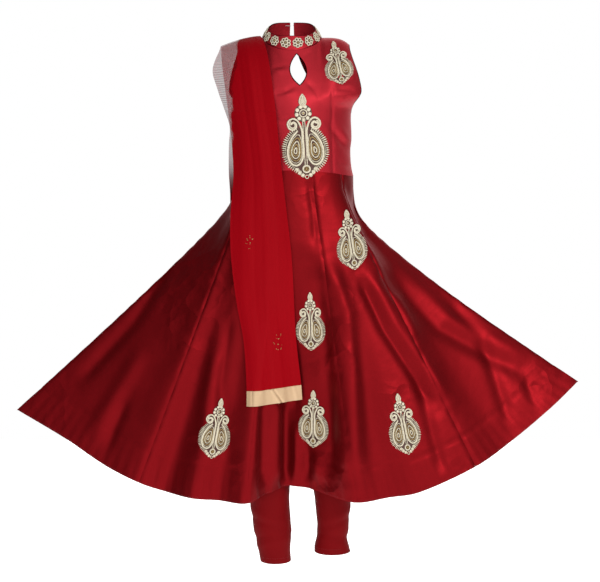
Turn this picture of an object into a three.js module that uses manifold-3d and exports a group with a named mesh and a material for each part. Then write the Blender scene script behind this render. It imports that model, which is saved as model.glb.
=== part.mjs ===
// A girl's salwar suit: a sleeveless flared kurta, a slim churidar and a net dupatta over one shoulder.
// It keeps the form that it has when worn, and is hollow and open like the real cloth.
// Millimetres, +Z up, the front faces -Y. The origin is the middle of the shoulder line, at the neck.
import * as THREE from "three";
import Module from "manifold-3d";
import { mergeVertices } from "three/addons/utils/BufferGeometryUtils.js";

const wasm = await Module();
wasm.setup();
const { lerp, smoothstep, clamp, degToRad } = THREE.MathUtils;

// Cloth and gaps
const SEAM = 0.3; // clear gap where two pieces are sewn together
const SATIN = 1.2; // wall of the kurta and the churidar
const COLLAR_WALL = 1.5; // the collar is stiffened
const NET = 2; // the folded net of the dupatta, several layers thick
const PATCH_GAP = 0.45; // an embroidered patch over the highest place of its panel
const PATCH_CELL = 15; // how far apart its points are, across
const PATCH_WALL = 1.3;
const PATCH_RELIEF = 1.1; // how far the padded paisley lobes rise above that

const FEELER = 0.7; // a place on the panels is looked for this far to each side too, to miss no seam
const FAR = 500; // outside everything, in front and behind

// Heights
const WAIST_FRONT = -252;
const WAIST_BACK = -256;
const WAIST_SIDE = -268;
const UNDERARM = -142;
const ARMHOLE_FULL = -108; // the armhole has its full width from here up
const ARMHOLE_ANGLE = 60; // degrees round from the front, or from the back, to the armhole's edge

// Neck and shoulders
const NECK = { x: -12, half: 58, front: 60, back: 52, sideZ: 2.5, frontZ: -22, backZ: 5.5 };
const COLLAR_TOP = { half: 44.5, front: 50, back: 45, frontZ: 6, backZ: 33.5 };
const COLLAR_GAP = 4; // degrees each side of the centre back
const SHOULDER_TIP = { left: -115, right: 100, z: -11 };
const COLLAR_INSET = 2.4; // the collar stands this far inside the neckline's inner edge
const NECK_SHARE = 0.5; // share of the panel's half width that ends at the neckline
const BACK_DEPTH = 0.97; // depth of the back against the front
const SHOULDER_BLEND = { from: 0.3, to: 0.55 }; // share of the half width where the chest's round gives way
const CHEST_ROUND = 1.6; // how late the chest turns in to the neckline
const ROUND_ROWS = 8;
const STRAIGHT_ROWS = 6;
const SHOULDER_COLUMNS = 5;
const NECK_COLUMNS = 12;
const COLLAR_COLUMNS = 40;

// The bodice from the waist up: its middle, its half width at the side or armhole edge, and its depth
const BODICE = [
  { z: -270, mid: -6.5, half: 115.5, depth: 88 },
  { z: -250, mid: -6.5, half: 111, depth: 87.5 },
  { z: -217, mid: -6, half: 108.5, depth: 88 },
  { z: -186, mid: -5.5, half: 110, depth: 90 },
  { z: -147, mid: -5, half: 108.5, depth: 93 },
  { z: -126, mid: -5, half: 113, depth: 94 },
  { z: -105, mid: -5, half: 128, depth: 94 },
  { z: -93, mid: -5, half: 130.5, depth: 93 },
  { z: -57, mid: -6, half: 128, depth: 91 },
  { z: -30, mid: -7, half: 120, depth: 88 },
  { z: -10, mid: -7.5, half: 107.5, depth: 86 },
];

// Openings cut in the bodice, as points on its middle line and half widths
const KEYHOLE = { top: [-2.6, -27.5], bottom: [3.6, -88.4], widest: -62, half: 16.2 };
const DROP = { top: [-12, 30], neck: 3.5, bottom: [-5, -122], widest: -84, half: 28, corner: 8 };

// The hem from the left corner to the right one. at is the share of the way round, with a gore seam at
// each fifth. fold is how far a valley lies inside the outline. hang is the share of the length that hangs
// straight down before it spreads, and flare is 1 where it then spreads evenly.
const HEM_FRONT = [
  { at: 0, x: -566, y: 0, z: -739, fold: 0, hang: 0.1, flare: 1.05 },
  { at: 0.087, x: -457, y: -55, z: -790, fold: 0, hang: 0.1, flare: 1.05 },
  { at: 0.148, x: -381, y: -90, z: -833, fold: 0, hang: 0.07, flare: 1.03 },
  { at: 0.2, x: -312, y: -120, z: -861, fold: 0, hang: 0.03, flare: 1 },
  { at: 0.25, x: -262, y: -130, z: -882, fold: 26, hang: 0, flare: 1 },
  { at: 0.3, x: -208, y: -139, z: -888, fold: 0, hang: 0, flare: 1 },
  { at: 0.35, x: -156, y: -146, z: -895, fold: 20, hang: 0, flare: 1 },
  { at: 0.4, x: -100, y: -150, z: -896, fold: 0, hang: 0, flare: 1 },
  { at: 0.4385, x: -65, y: -153, z: -889, fold: 48, hang: 0, flare: 1 },
  { at: 0.4855, x: -20, y: -155, z: -883, fold: 103, hang: 0, flare: 1 },
  { at: 0.5247, x: 33, y: -155, z: -886, fold: 80, hang: 0, flare: 1 },
  { at: 0.56, x: 67, y: -153, z: -890, fold: 38, hang: 0, flare: 1 },
  { at: 0.6, x: 115, y: -150, z: -894, fold: 0, hang: 0, flare: 1 },
  { at: 0.65, x: 176, y: -146, z: -887, fold: 9, hang: 0, flare: 1 },
  { at: 0.7, x: 236, y: -140, z: -876, fold: 0, hang: 0, flare: 1 },
  { at: 0.8, x: 349, y: -110, z: -831, fold: 0, hang: 0.04, flare: 1.03 },
  { at: 0.862, x: 418, y: -78, z: -793, fold: 10, hang: 0.11, flare: 1.1 },
  { at: 0.944, x: 505, y: -35, z: -728, fold: 0, hang: 0.165, flare: 1.2 },
  { at: 1, x: 563, y: 0, z: -681, fold: 0, hang: 0.17, flare: 1.15 },
];
const HEM_BACK = [
  { at: 0, x: -566, y: 0, z: -739, fold: 0, hang: 0.1, flare: 1.05 },
  { at: 0.1, x: -434, y: 66, z: -803, fold: -8, hang: 0.09, flare: 1.05 },
  { at: 0.2, x: -316, y: 120, z: -853, fold: 0, hang: 0.03, flare: 1 },
  { at: 0.26, x: -250, y: 132, z: -872, fold: -34, hang: 0, flare: 1 },
  { at: 0.33, x: -172, y: 145, z: -887, fold: 0, hang: 0, flare: 1 },
  { at: 0.4, x: -104, y: 150, z: -893, fold: -12, hang: 0, flare: 1 },
  { at: 0.46, x: -46, y: 153, z: -896, fold: -58, hang: 0, flare: 1 },
  { at: 0.52, x: 12, y: 154, z: -897, fold: -6, hang: 0, flare: 1 },
  { at: 0.6, x: 104, y: 150, z: -892, fold: 0, hang: 0, flare: 1 },
  { at: 0.66, x: 178, y: 146, z: -881, fold: -46, hang: 0, flare: 1 },
  { at: 0.73, x: 262, y: 134, z: -860, fold: 0, hang: 0, flare: 1 },
  { at: 0.8, x: 346, y: 110, z: -823, fold: 0, hang: 0.04, flare: 1.03 },
  { at: 0.89, x: 450, y: 60, z: -765, fold: -12, hang: 0.14, flare: 1.14 },
  { at: 1, x: 563, y: 0, z: -681, fold: 0, hang: 0.17, flare: 1.15 },
];
const GORES = 5; // in front, and as many behind
const GORE_COLUMNS = [7, 8, 10, 8, 7];
const GORE_ROWS = 10;
const FOLD_START = 0.22; // share of the skirt's length, from the waist, where the folds begin
const FOLD_GROWTH = 1.2;
const HANG_BEND = 0.07; // how softly a line turns from hanging to spreading

const MIDDLE_SHARE = 0.02; // below this share of the way round, a place counts as on the middle line

// The churidar: its band, its hips and each leg's centre, half width and half depth
const BAND = { height: 30, below: 2, clear: 0.4 };
const HIPS = { z: -400, half: 116, depth: 97 };
const CROTCH = { x: -4, z: -470, curve: 110 };
const LEG_COLUMNS = 16;
// Shares of the way down a leg, close together at the crotch and at the ankle
const LEG_ROWS = [0, 0.09, 0.15, 0.19, 0.21, 0.2225, 0.3, 0.44, 0.58, 0.72, 0.82, 0.9, 0.96, 0.982, 1];
const BAND_COLUMNS = 36;
const LEGS = {
  left: [
    { z: -1050, centre: -45.4, half: 30, depth: 32 },
    { z: -1027, centre: -48.2, half: 31.2, depth: 33 },
    { z: -990, centre: -51.3, half: 36.3, depth: 36 },
    { z: -930, centre: -57, half: 38.6, depth: 41 },
    { z: -860, centre: -58.5, half: 42, depth: 46 },
    { z: -700, centre: -60, half: 45, depth: 49 },
    { z: -470, centre: -61.5, half: 56, depth: 64 },
  ],
  right: [
    { z: -1031, centre: 70, half: 35.5, depth: 35 },
    { z: -1018, centre: 68, half: 33, depth: 33 },
    { z: -1004, centre: 69, half: 30.5, depth: 32 },
    { z: -980, centre: 71, half: 30.5, depth: 34 },
    { z: -928, centre: 70.5, half: 35, depth: 40 },
    { z: -860, centre: 68, half: 41, depth: 45 },
    { z: -700, centre: 60, half: 45, depth: 49 },
    { z: -470, centre: 53.5, half: 56, depth: 64 },
  ],
};

// The dupatta's edges down the front, over the shoulder and down the back
const DUPATTA_FRONT = [
  { z: -708, left: -99, right: 8 },
  { z: -674, left: -99, right: 6 },
  { z: -582, left: -105, right: -4 },
  { z: -507, left: -119, right: -8 },
  { z: -417, left: -130, right: -12 },
  { z: -343, left: -131, right: -20 },
  { z: -266, left: -125, right: -29 },
  { z: -200, left: -128, right: -36 },
  { z: -138, left: -135, right: -42 },
];
const DUPATTA_OVER = [
  { angle: -90, left: -135, right: -42 },
  { angle: -45, left: -147, right: -57 },
  { angle: 0, left: -151, right: -75 },
  { angle: 20, left: -155, right: -76 },
  { angle: 48, left: -169, right: -74 },
  { angle: 70, left: -160, right: -68 },
  { angle: 90, left: -146, right: -60 },
];
const DUPATTA_BACK = [
  { z: -762, left: -132, right: -28 },
  { z: -600, left: -138, right: -32 },
  { z: -450, left: -140, right: -38 },
  { z: -315, left: -137, right: -42 },
  { z: -265, left: -139, right: -45 },
  { z: -208, left: -138, right: -50 },
  { z: -172, left: -136, right: -55 },
  { z: -138, left: -146, right: -60 },
];
const CHEST = -138; // where the shoulders' round ends
const DUPATTA_TOP = { z: 4.2, drop: 20, from: -75, width: 77, bend: 1.6 };
const FREE_SLOPE = 0.3; // how an edge that is past the body leans back, for each millimetre outward
const DUPATTA_CLEAR = { shoulder: 1, round: 2, fall: 3.4 };
const PLEATS = { count: 3.5, height: 2.2 };
const BORDER = 32; // satin band on each end
const BORDER_TILT = 6; // the front end hangs this much higher on its right
const DUPATTA_COLUMNS = 12;
const DUPATTA_ROWS = 16;
const OVER_ROWS = 12;

// Embroidered patches: the middle on the front, the size, and the tilt in degrees with the foot to the right.
// ridge is how much of the highest ridge under a patch lifts the whole of it.
const PATCHES = [
  { name: "motif_chest", x: 12.7, z: -187.5, width: 91, height: 164, tilt: 3.4, ridge: 1 },
  { name: "motif_shoulder", x: 77, z: -46, width: 56, height: 84, tilt: 12, ridge: 1 },
  { name: "motif_skirt_1", x: 102, z: -388, width: 60, height: 117, tilt: 9, ridge: 0.5 },
  { name: "motif_skirt_2", x: 24.5, z: -546, width: 58, height: 115, tilt: 1.5, ridge: 1 },
  { name: "motif_skirt_3", x: 30.5, z: -741, width: 60, height: 117, tilt: 0, ridge: 0.55 },
  { name: "motif_skirt_4", x: 204.5, z: -744, width: 62, height: 120, tilt: 11, ridge: 1 },
  { name: "motif_skirt_5", x: -159.5, z: -753.5, width: 62, height: 118, tilt: -10, ridge: 1 },
];
// A patch from its foot to its tip, with its half width as a share of the widest place
const PATCH_OUTLINE = [
  { up: 0, half: 0.05, lobes: 0 },
  { up: 0.12, half: 0.2, lobes: 0 },
  { up: 0.165, half: 0.42, lobes: 0.1 },
  { up: 0.22, half: 0.84, lobes: 0.6 },
  { up: 0.31, half: 1, lobes: 1 },
  { up: 0.42, half: 0.92, lobes: 1 },
  { up: 0.51, half: 0.7, lobes: 0.7 },
  { up: 0.575, half: 0.5, lobes: 0.4 },
  { up: 0.655, half: 0.68, lobes: 0.6 },
  { up: 0.71, half: 0.42, lobes: 0.3 },
  { up: 0.785, half: 0.37, lobes: 0 },
  { up: 0.84, half: 0.28, lobes: 0 },
  { up: 0.875, half: 0.12, lobes: 0 },
  { up: 1, half: 0.03, lobes: 0 },
];
const FLOWERS = { pairs: 6, step: 26.5, radius: 10.4, notch: 0.8, boss: 0.32, bossRise: 2.3, petal: 1.4 };
const FLOWER_GAP = 0.45;
const WIRE = 0.5; // radius of the hook's and the eye's wire
// Their length as a share of the collar's, how far down it they sit, and the bend past the end
const HOOK = { level: 0.2, start: 0.036, reach: 1.6, bendIn: 0.8, back: 0.4, tipIn: 2 };
const EYE = { start: 0.966, knee: 0.99, half: 2, reach: 1 };

const COLOURS = {
  satin: 0x8c1216,
  bodice: 0xa31d24,
  churidar: 0x8a0e14,
  net: 0x9c0b18,
  border: 0xe3c69a,
  thread: 0xe0d2b2,
  metal: 0xd8d8d4,
};
const FRONT = -1;
const BACK = 1;
const suit = new THREE.Group();

function addPiece(name, geometry, colour, roughness = 0.5, metalness = 0) {
  const material = new THREE.MeshStandardMaterial({ color: colour, roughness, metalness });
  const mesh = new THREE.Mesh(geometry, material);
  mesh.name = name;
  suit.add(mesh);
  return mesh;
}

// A column of a table at a place along its key, on a smooth curve through the rows
function along(rows, key, place, column) {
  const last = rows.length - 1;
  const at = clamp(place, rows[0][key], rows[last][key]);
  const i = Math.max(0, Math.min(last, rows.findIndex((row) => row[key] >= at)) - 1);
  const slope = (k) => {
    const low = rows[Math.max(k - 1, 0)];
    const high = rows[Math.min(k + 1, last)];
    return (high[column] - low[column]) / (high[key] - low[key]);
  };
  const a = rows[i];
  const b = rows[i + 1];
  const span = b[key] - a[key];
  const t = (at - a[key]) / span;
  const ease = t * t * (3 - 2 * t);
  const leave = t * (1 - t) * (1 - t) * span * slope(i);
  const arrive = t * t * (t - 1) * span * slope(i + 1);
  return lerp(a[column], b[column], ease) + leave + arrive;
}

function steps(from, to, count) {
  return Array.from({ length: count + 1 }, (_, i) => lerp(from, to, i / count));
}

function meshGeometry(points, triangles) {
  const geometry = new THREE.BufferGeometry();
  const flat = points.flatMap((point) => [point.x, point.y, point.z]);
  geometry.setAttribute("position", new THREE.Float32BufferAttribute(flat, 3));
  geometry.setIndex(triangles.flat());
  return geometry;
}

const TINY = 0.004;
function normalOf(surface, u, v, facing) {
  const across = surface(Math.min(u + TINY, 1), v).sub(surface(Math.max(u - TINY, 0), v));
  const down = surface(u, Math.min(v + TINY, 1)).sub(surface(u, Math.max(v - TINY, 0)));
  return across.cross(down).normalize().multiplyScalar(facing);
}

// A wall of cloth. surface(u, v) is its inner side, u from left to right and v from top to bottom, both
// from 0 to 1 over the whole garment, and us and vs say which of it this piece takes. Its edges stand
// half a seam back. thickness may be a function of u and v.
function clothWall(surface, us, vs, facing, thickness) {
  const inner = vs.map((v) => us.map((u) => surface(u, v)));
  const thick = (u, v) => (typeof thickness === "function" ? thickness(u, v) : thickness);
  const lift = vs.map((v) => us.map((u) => normalOf(surface, u, v, facing).multiplyScalar(thick(u, v))));
  const columns = us.length;
  const rows = vs.length;
  const shift = inner.map((row) => row.map(() => new THREE.Vector3()));
  const setBack = (j, i, nextJ, nextI) => {
    const step = inner[nextJ][nextI].clone().sub(inner[j][i]).setLength(SEAM / 2);
    shift[j][i].add(step);
  };
  for (let j = 0; j < rows; j += 1) {
    setBack(j, 0, j, 1);
    setBack(j, columns - 1, j, columns - 2);
  }
  for (let i = 0; i < columns; i += 1) {
    setBack(0, i, 1, i);
    setBack(rows - 1, i, rows - 2, i);
  }
  const points = [];
  for (const side of [1, 0]) {
    for (let j = 0; j < rows; j += 1) {
      for (let i = 0; i < columns; i += 1) {
        points.push(inner[j][i].clone().add(shift[j][i]).addScaledVector(lift[j][i], side));
      }
    }
  }
  const outerAt = (i, j) => j * columns + i;
  const innerAt = (i, j) => rows * columns + outerAt(i, j);
  const triangles = [];
  for (let j = 0; j < rows - 1; j += 1) {
    for (let i = 0; i < columns - 1; i += 1) {
      const [a, b, c, d] = [outerAt(i, j), outerAt(i + 1, j), outerAt(i + 1, j + 1), outerAt(i, j + 1)];
      triangles.push([a, b, c], [a, c, d]);
      const [e, f, g, h] = [innerAt(i, j), innerAt(i + 1, j), innerAt(i + 1, j + 1), innerAt(i, j + 1)];
      triangles.push([e, g, f], [e, h, g]);
    }
  }
  const rim = (i0, j0, i1, j1) => {
    triangles.push([outerAt(i1, j1), outerAt(i0, j0), innerAt(i0, j0)]);
    triangles.push([outerAt(i1, j1), innerAt(i0, j0), innerAt(i1, j1)]);
  };
  for (let i = 0; i < columns - 1; i += 1) {
    rim(i, 0, i + 1, 0);
    rim(i + 1, rows - 1, i, rows - 1);
  }
  for (let j = 0; j < rows - 1; j += 1) {
    rim(columns - 1, j, columns - 1, j + 1);
    rim(0, j + 1, 0, j);
  }
  const turned = facing > 0 ? triangles : triangles.map(([a, b, c]) => [a, c, b]);
  return meshGeometry(points, turned);
}

function toSolid(geometry) {
  const bare = geometry.clone();
  bare.deleteAttribute("normal");
  bare.deleteAttribute("uv");
  const merged = mergeVertices(bare);
  const mesh = new wasm.Mesh({
    numProp: 3,
    vertProperties: merged.attributes.position.array,
    triVerts: new Uint32Array(merged.index.array),
  });
  return new wasm.Manifold(mesh);
}

// The panel with a shape in X and Z cut right through it, in front or behind
function cutThrough(geometry, shape, facing) {
  const reach = 200;
  const tool = new THREE.ExtrudeGeometry(shape, { depth: reach, bevelEnabled: false, curveSegments: 9 });
  tool.rotateX(Math.PI / 2);
  tool.translate(0, facing === BACK ? reach : 0, 0);
  const result = toSolid(geometry).subtract(toSolid(tool)).getMesh();
  const cut = new THREE.BufferGeometry();
  cut.setAttribute("position", new THREE.Float32BufferAttribute(result.vertProperties, 3));
  cut.setIndex(Array.from(result.triVerts));
  return cut;
}

// Bodice

function waistHeight(angle, facing) {
  const middle = facing === FRONT ? WAIST_FRONT : WAIST_BACK;
  return lerp(middle, WAIST_SIDE, Math.sin(angle) ** 2);
}

// The top edge: the neckline in the middle and a shoulder seam on each side
function topEdge(across, facing) {
  const side = Math.sign(across);
  const share = Math.abs(across) / NECK_SHARE;
  if (share <= 1) {
    const turn = (share * Math.PI) / 2;
    const front = Math.cos(turn) * -facing;
    const tilt = (NECK.frontZ - NECK.backZ) / 2;
    const bow = (NECK.frontZ + NECK.backZ) / 2 - NECK.sideZ;
    const depth = facing === FRONT ? NECK.front : NECK.back;
    const z = NECK.sideZ + tilt * front + bow * front * front;
    return new THREE.Vector3(NECK.x + side * NECK.half * Math.sin(turn), facing * depth * Math.cos(turn), z);
  }
  const out = (Math.abs(across) - NECK_SHARE) / (1 - NECK_SHARE);
  const tip = side < 0 ? SHOULDER_TIP.left : SHOULDER_TIP.right;
  const x = lerp(NECK.x + side * NECK.half, tip, out);
  return new THREE.Vector3(x, 0, lerp(NECK.sideZ, SHOULDER_TIP.z, out ** 4));
}

// Half of v is the round of the shoulders, and the other half the straight part down to the waist
function bodiceSurface(facing) {
  return (u, v) => {
    const across = 2 * u - 1;
    const round = Math.sin((Math.PI / 2) * clamp(1 - 2 * v, 0, 1));
    const up = v < 0.5 ? 0.5 + 0.5 * round : 1 - v;
    const top = topEdge(across, facing);
    const waist = waistHeight((across * Math.PI) / 2, facing);
    const z = lerp(waist, top.z, up);
    const open = smoothstep(z, UNDERARM, ARMHOLE_FULL);
    const edge = degToRad(lerp(90, ARMHOLE_ANGLE, open));
    const depth = along(BODICE, "z", z, "depth") * (facing === BACK ? BACK_DEPTH : 1);
    const half = along(BODICE, "z", z, "half");
    const x = along(BODICE, "z", z, "mid") + (half * Math.sin(across * edge)) / Math.sin(edge);
    const y = facing * depth * Math.cos(across * edge);
    const shoulder = smoothstep(Math.abs(across), SHOULDER_BLEND.from, SHOULDER_BLEND.to);
    const turn = lerp(round ** CHEST_ROUND, 1 - Math.sqrt(1 - Math.min(round, 1) ** 2), shoulder);
    return new THREE.Vector3(lerp(x, top.x, round * round), lerp(y, top.y, turn), z);
  };
}

const bodiceRows = [...steps(0, 0.5, ROUND_ROWS), ...steps(0.5, 1, STRAIGHT_ROWS).slice(1)];
const shoulderColumns = (1 - NECK_SHARE) / 2;
const frontColumns = [
  ...steps(0, shoulderColumns, SHOULDER_COLUMNS),
  ...steps(shoulderColumns, 1 - shoulderColumns, NECK_COLUMNS).slice(1),
  ...steps(1 - shoulderColumns, 1, SHOULDER_COLUMNS).slice(1),
];

function keyholeShape() {
  const shape = new THREE.Shape();
  const middle = (KEYHOLE.top[0] + KEYHOLE.bottom[0]) / 2;
  shape.moveTo(...KEYHOLE.top);
  shape.quadraticCurveTo(middle - 2 * KEYHOLE.half, KEYHOLE.widest, ...KEYHOLE.bottom);
  shape.quadraticCurveTo(middle + 2 * KEYHOLE.half, KEYHOLE.widest, ...KEYHOLE.top);
  return shape;
}

function dropShape() {
  const [topX, topZ] = DROP.top;
  const [footX, footZ] = DROP.bottom;
  const reach = (DROP.half * 4) / 3;
  const { neck, half, widest } = DROP;
  const cornerZ = footZ + DROP.corner;
  const shape = new THREE.Shape();
  shape.moveTo(topX - neck, topZ);
  shape.bezierCurveTo(topX - neck, widest / 2, footX - reach, widest, footX - half, widest);
  shape.bezierCurveTo(footX - half, cornerZ, footX - half / 2, footZ, footX, footZ);
  shape.bezierCurveTo(footX + half / 2, footZ, footX + half, cornerZ, footX + half, widest);
  shape.bezierCurveTo(footX + reach, widest, topX + neck, widest / 2, topX + neck, topZ);
  return shape;
}

function makeBodice() {
  const front = clothWall(bodiceSurface(FRONT), frontColumns, bodiceRows, FRONT, SATIN);
  addPiece("bodice_front", cutThrough(front, keyholeShape(), FRONT), COLOURS.bodice, 0.42);
  const halves = { bodice_back_left: (u) => u <= 0.5, bodice_back_right: (u) => u >= 0.5 };
  for (const [name, keep] of Object.entries(halves)) {
    const half = clothWall(bodiceSurface(BACK), frontColumns.filter(keep), bodiceRows, BACK, SATIN);
    addPiece(name, cutThrough(half, dropShape(), BACK), COLOURS.bodice, 0.42);
  }
}

// Collar: u goes round it from the left of the back gap, by the front, to the right of the gap

function collarSurface(u, v) {
  const angle = degToRad((2 * u - 1) * (180 - COLLAR_GAP));
  const facing = Math.abs(angle) < Math.PI / 2 ? FRONT : BACK;
  const turn = facing === FRONT ? angle : Math.sign(angle) * (Math.PI - Math.abs(angle));
  const base = topEdge((turn / Math.PI) * 2 * NECK_SHARE, facing);
  const front = Math.cos(angle);
  base.x -= COLLAR_INSET * Math.sin(angle);
  base.y += COLLAR_INSET * front;
  const depth = facing === FRONT ? COLLAR_TOP.front : COLLAR_TOP.back;
  const z = lerp(COLLAR_TOP.frontZ, COLLAR_TOP.backZ, smoothstep(-front, -1, 1));
  const top = new THREE.Vector3(NECK.x + COLLAR_TOP.half * Math.sin(angle), -depth * front, z);
  return top.lerp(base, v);
}

function flowerGeometry(place) {
  const { radius, notch, boss, bossRise, petal } = FLOWERS;
  const points = 12;
  const ring = (size, rise) =>
    Array.from({ length: points }, (_, k) => {
      const angle = (k / points) * 2 * Math.PI;
      const reach = radius * size * (size === 1 && k % 2 === 1 ? notch : 1);
      return place(reach * Math.cos(angle), reach * Math.sin(angle), rise);
    });
  const rings = [...ring(boss, bossRise * 0.9), ...ring(1, petal), ...ring(1, 0)];
  const all = [place(0, 0, bossRise), ...rings, place(0, 0, 0)];
  const triangles = [];
  for (let k = 0; k < points; k += 1) {
    const next = (k + 1) % points;
    const [a, b] = [1 + k, 1 + next];
    const [c, d] = [a + points, b + points];
    const [e, f] = [c + points, d + points];
    triangles.push([0, a, b], [a, c, d], [a, d, b], [c, e, f], [c, f, d], [e, all.length - 1, f]);
  }
  return meshGeometry(all, triangles);
}

function makeCollar() {
  const wall = clothWall(collarSurface, steps(0, 1, COLLAR_COLUMNS), [0, 1], FRONT, COLLAR_WALL);
  addPiece("collar", wall, COLOURS.bodice, 0.45);
  for (let k = 0; k < 2 * FLOWERS.pairs; k += 1) {
    const angle = (k + 0.5 - FLOWERS.pairs) * FLOWERS.step;
    const u = 0.5 + angle / (2 * (180 - COLLAR_GAP));
    const around = collarSurface(u - 0.01, 0.5).distanceTo(collarSurface(u + 0.01, 0.5)) / 0.02;
    const height = collarSurface(u, 0).distanceTo(collarSurface(u, 1));
    const place = (x, y, rise) => {
      const atU = u + x / around;
      const atV = 0.5 - y / height;
      const out = normalOf(collarSurface, atU, atV, FRONT).multiplyScalar(COLLAR_WALL + FLOWER_GAP + rise);
      return collarSurface(atU, atV).add(out);
    };
    const number = String(k + 1).padStart(2, "0");
    addPiece(`collar_flower_${number}`, flowerGeometry(place), COLOURS.thread, 0.55);
  }
}

function wireGeometry(route, count) {
  const section = new THREE.Shape();
  section.absarc(0, 0, WIRE, 0, 2 * Math.PI);
  const path = new THREE.CatmullRomCurve3(route);
  const sweep = { extrudePath: path, steps: count, curveSegments: 6, bevelEnabled: false };
  return new THREE.ExtrudeGeometry(section, sweep);
}

// The hook lies on the inside of the collar's left end and the eye outside its right end, a little below
// the top edge. Each reaches past its end into the back gap.
function makeFastening() {
  const beside = (u, out, up = 0) => {
    const away = normalOf(collarSurface, u, HOOK.level, FRONT).multiplyScalar(out);
    return collarSurface(u, HOOK.level).add(away).add(new THREE.Vector3(0, 0, up));
  };
  const inside = -(WIRE + 2 * SEAM);
  const end = beside(0, inside);
  const hook = [beside(HOOK.start, inside), beside(HOOK.start / 2, inside), end];
  hook.push(end.clone().add(new THREE.Vector3(HOOK.reach, -HOOK.bendIn, 0)));
  hook.push(end.clone().add(new THREE.Vector3(HOOK.back, -HOOK.tipIn, 0)));
  addPiece("collar_hook", wireGeometry(hook, 12), COLOURS.metal, 0.3, 0.9);
  const outside = COLLAR_WALL + WIRE + 2 * SEAM;
  const bend = beside(1, outside).add(new THREE.Vector3(-EYE.reach, 0, 0));
  const eye = [beside(EYE.start, outside, -EYE.half), beside(EYE.knee, outside, -EYE.half), bend];
  eye.push(beside(EYE.knee, outside, EYE.half), beside(EYE.start, outside, EYE.half));
  addPiece("collar_eye", wireGeometry(eye, 12), COLOURS.metal, 0.3, 0.9);
}

// Skirt

function waistPoint(angle, facing, inset = 0) {
  const z = waistHeight(angle, facing);
  const half = along(BODICE, "z", z, "half") - inset;
  const depth = along(BODICE, "z", z, "depth") * (facing === BACK ? BACK_DEPTH : 1) - inset;
  const x = along(BODICE, "z", z, "mid") + half * Math.sin(angle);
  return new THREE.Vector3(x, facing * depth * Math.cos(angle), z);
}

function spreadAt(v, hang) {
  const bend = (place) => place - hang + Math.hypot(place - hang, HANG_BEND);
  return (bend(v) - bend(0)) / (bend(1) - bend(0));
}

function skirtSurface(facing) {
  const hem = facing === FRONT ? HEM_FRONT : HEM_BACK;
  return (u, v) => {
    const waist = waistPoint((u - 0.5) * Math.PI, facing);
    const read = (column) => along(hem, "at", u, column);
    const spread = spreadAt(v, read("hang")) ** read("flare");
    const fold = read("fold") * Math.max(0, (v - FOLD_START) / (1 - FOLD_START)) ** FOLD_GROWTH;
    const y = lerp(waist.y, read("y"), v) + fold;
    return new THREE.Vector3(lerp(waist.x, read("x"), spread), y, lerp(waist.z, read("z"), v));
  };
}

function makeSkirt() {
  for (const [side, facing] of [["front", FRONT], ["back", BACK]]) {
    for (let k = 0; k < GORES; k += 1) {
      const columns = steps(k / GORES, (k + 1) / GORES, GORE_COLUMNS[k]);
      const gore = clothWall(skirtSurface(facing), columns, steps(0, 1, GORE_ROWS), facing, SATIN);
      addPiece(`skirt_${side}_${k + 1}`, gore, COLOURS.satin, 0.38);
    }
  }
}

// Churidar

function bandSurface(u, v) {
  const angle = (2 * u - 1) * Math.PI;
  const facing = Math.cos(angle) > 0 ? FRONT : BACK;
  const turn = facing === FRONT ? angle : Math.sign(angle) * (Math.PI - Math.abs(angle));
  const point = waistPoint(turn, facing, BAND.clear + SATIN);
  point.z -= BAND.below + BAND.height * v;
  return point;
}

// u goes from the middle of the front, round the outer side, to the middle of the back
function legSurface(side) {
  const rows = LEGS[side];
  const sign = side === "left" ? -1 : 1;
  return (u, v) => {
    const angle = (2 * u - 1) * Math.PI;
    const facing = u < 0.5 ? FRONT : BACK;
    const hip = Math.cos(angle / 2);
    const waist = waistPoint(Math.asin(hip) * sign, facing, BAND.clear + SATIN);
    const z = lerp(waist.z - BAND.below - BAND.height, rows[0].z, v);
    const read = (column) => along(rows, "z", z, column);
    const down = smoothstep(-z, -waist.z, -HIPS.z);
    const half = lerp(Math.abs(waist.x - CROTCH.x) / Math.max(hip, MIDDLE_SHARE), HIPS.half, down);
    const middle = lerp(along(BODICE, "z", WAIST_SIDE, "mid"), CROTCH.x, down);
    const turn = Math.sin(angle / 2);
    const sway = lerp(Math.abs(waist.y) / Math.max(Math.abs(turn), MIDDLE_SHARE), HIPS.depth, down);
    const torso = new THREE.Vector3(middle + sign * half * hip, sway * turn, z);
    const limbX = read("centre") + sign * read("half") * Math.cos(angle);
    const limb = new THREE.Vector3(limbX, read("depth") * Math.sin(angle), z);
    const apart = clamp((CROTCH.z + CROTCH.curve - z) / CROTCH.curve, 0, 1);
    return torso.lerp(limb, 1 - Math.sqrt(1 - apart * apart));
  };
}

function makeChuridar() {
  const band = clothWall(bandSurface, steps(0, 1, BAND_COLUMNS), [0, 1], FRONT, SATIN);
  addPiece("churidar_waistband", band, COLOURS.churidar, 0.6);
  for (const [side, facing] of [["left", BACK], ["right", FRONT]]) {
    const leg = clothWall(legSurface(side), steps(0, 1, LEG_COLUMNS), LEG_ROWS, facing, SATIN);
    addPiece(`churidar_leg_${side}`, leg, COLOURS.churidar, 0.6);
  }
}

// What lies on the panels: the first thing that a straight line from the front, or from behind, meets

const caster = new THREE.Raycaster();
function touch(x, z, facing) {
  let best = null;
  for (const near of [0, FEELER, -FEELER]) {
    caster.set(new THREE.Vector3(x + near, facing * FAR, z + near), new THREE.Vector3(0, -facing, 0));
    const [hit] = caster.intersectObjects(suit.children, false);
    const out = hit ? hit.point.y * facing : 0;
    if (out > 0 && (!best || out > best.point.y * facing)) best = hit;
  }
  return best;
}

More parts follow.
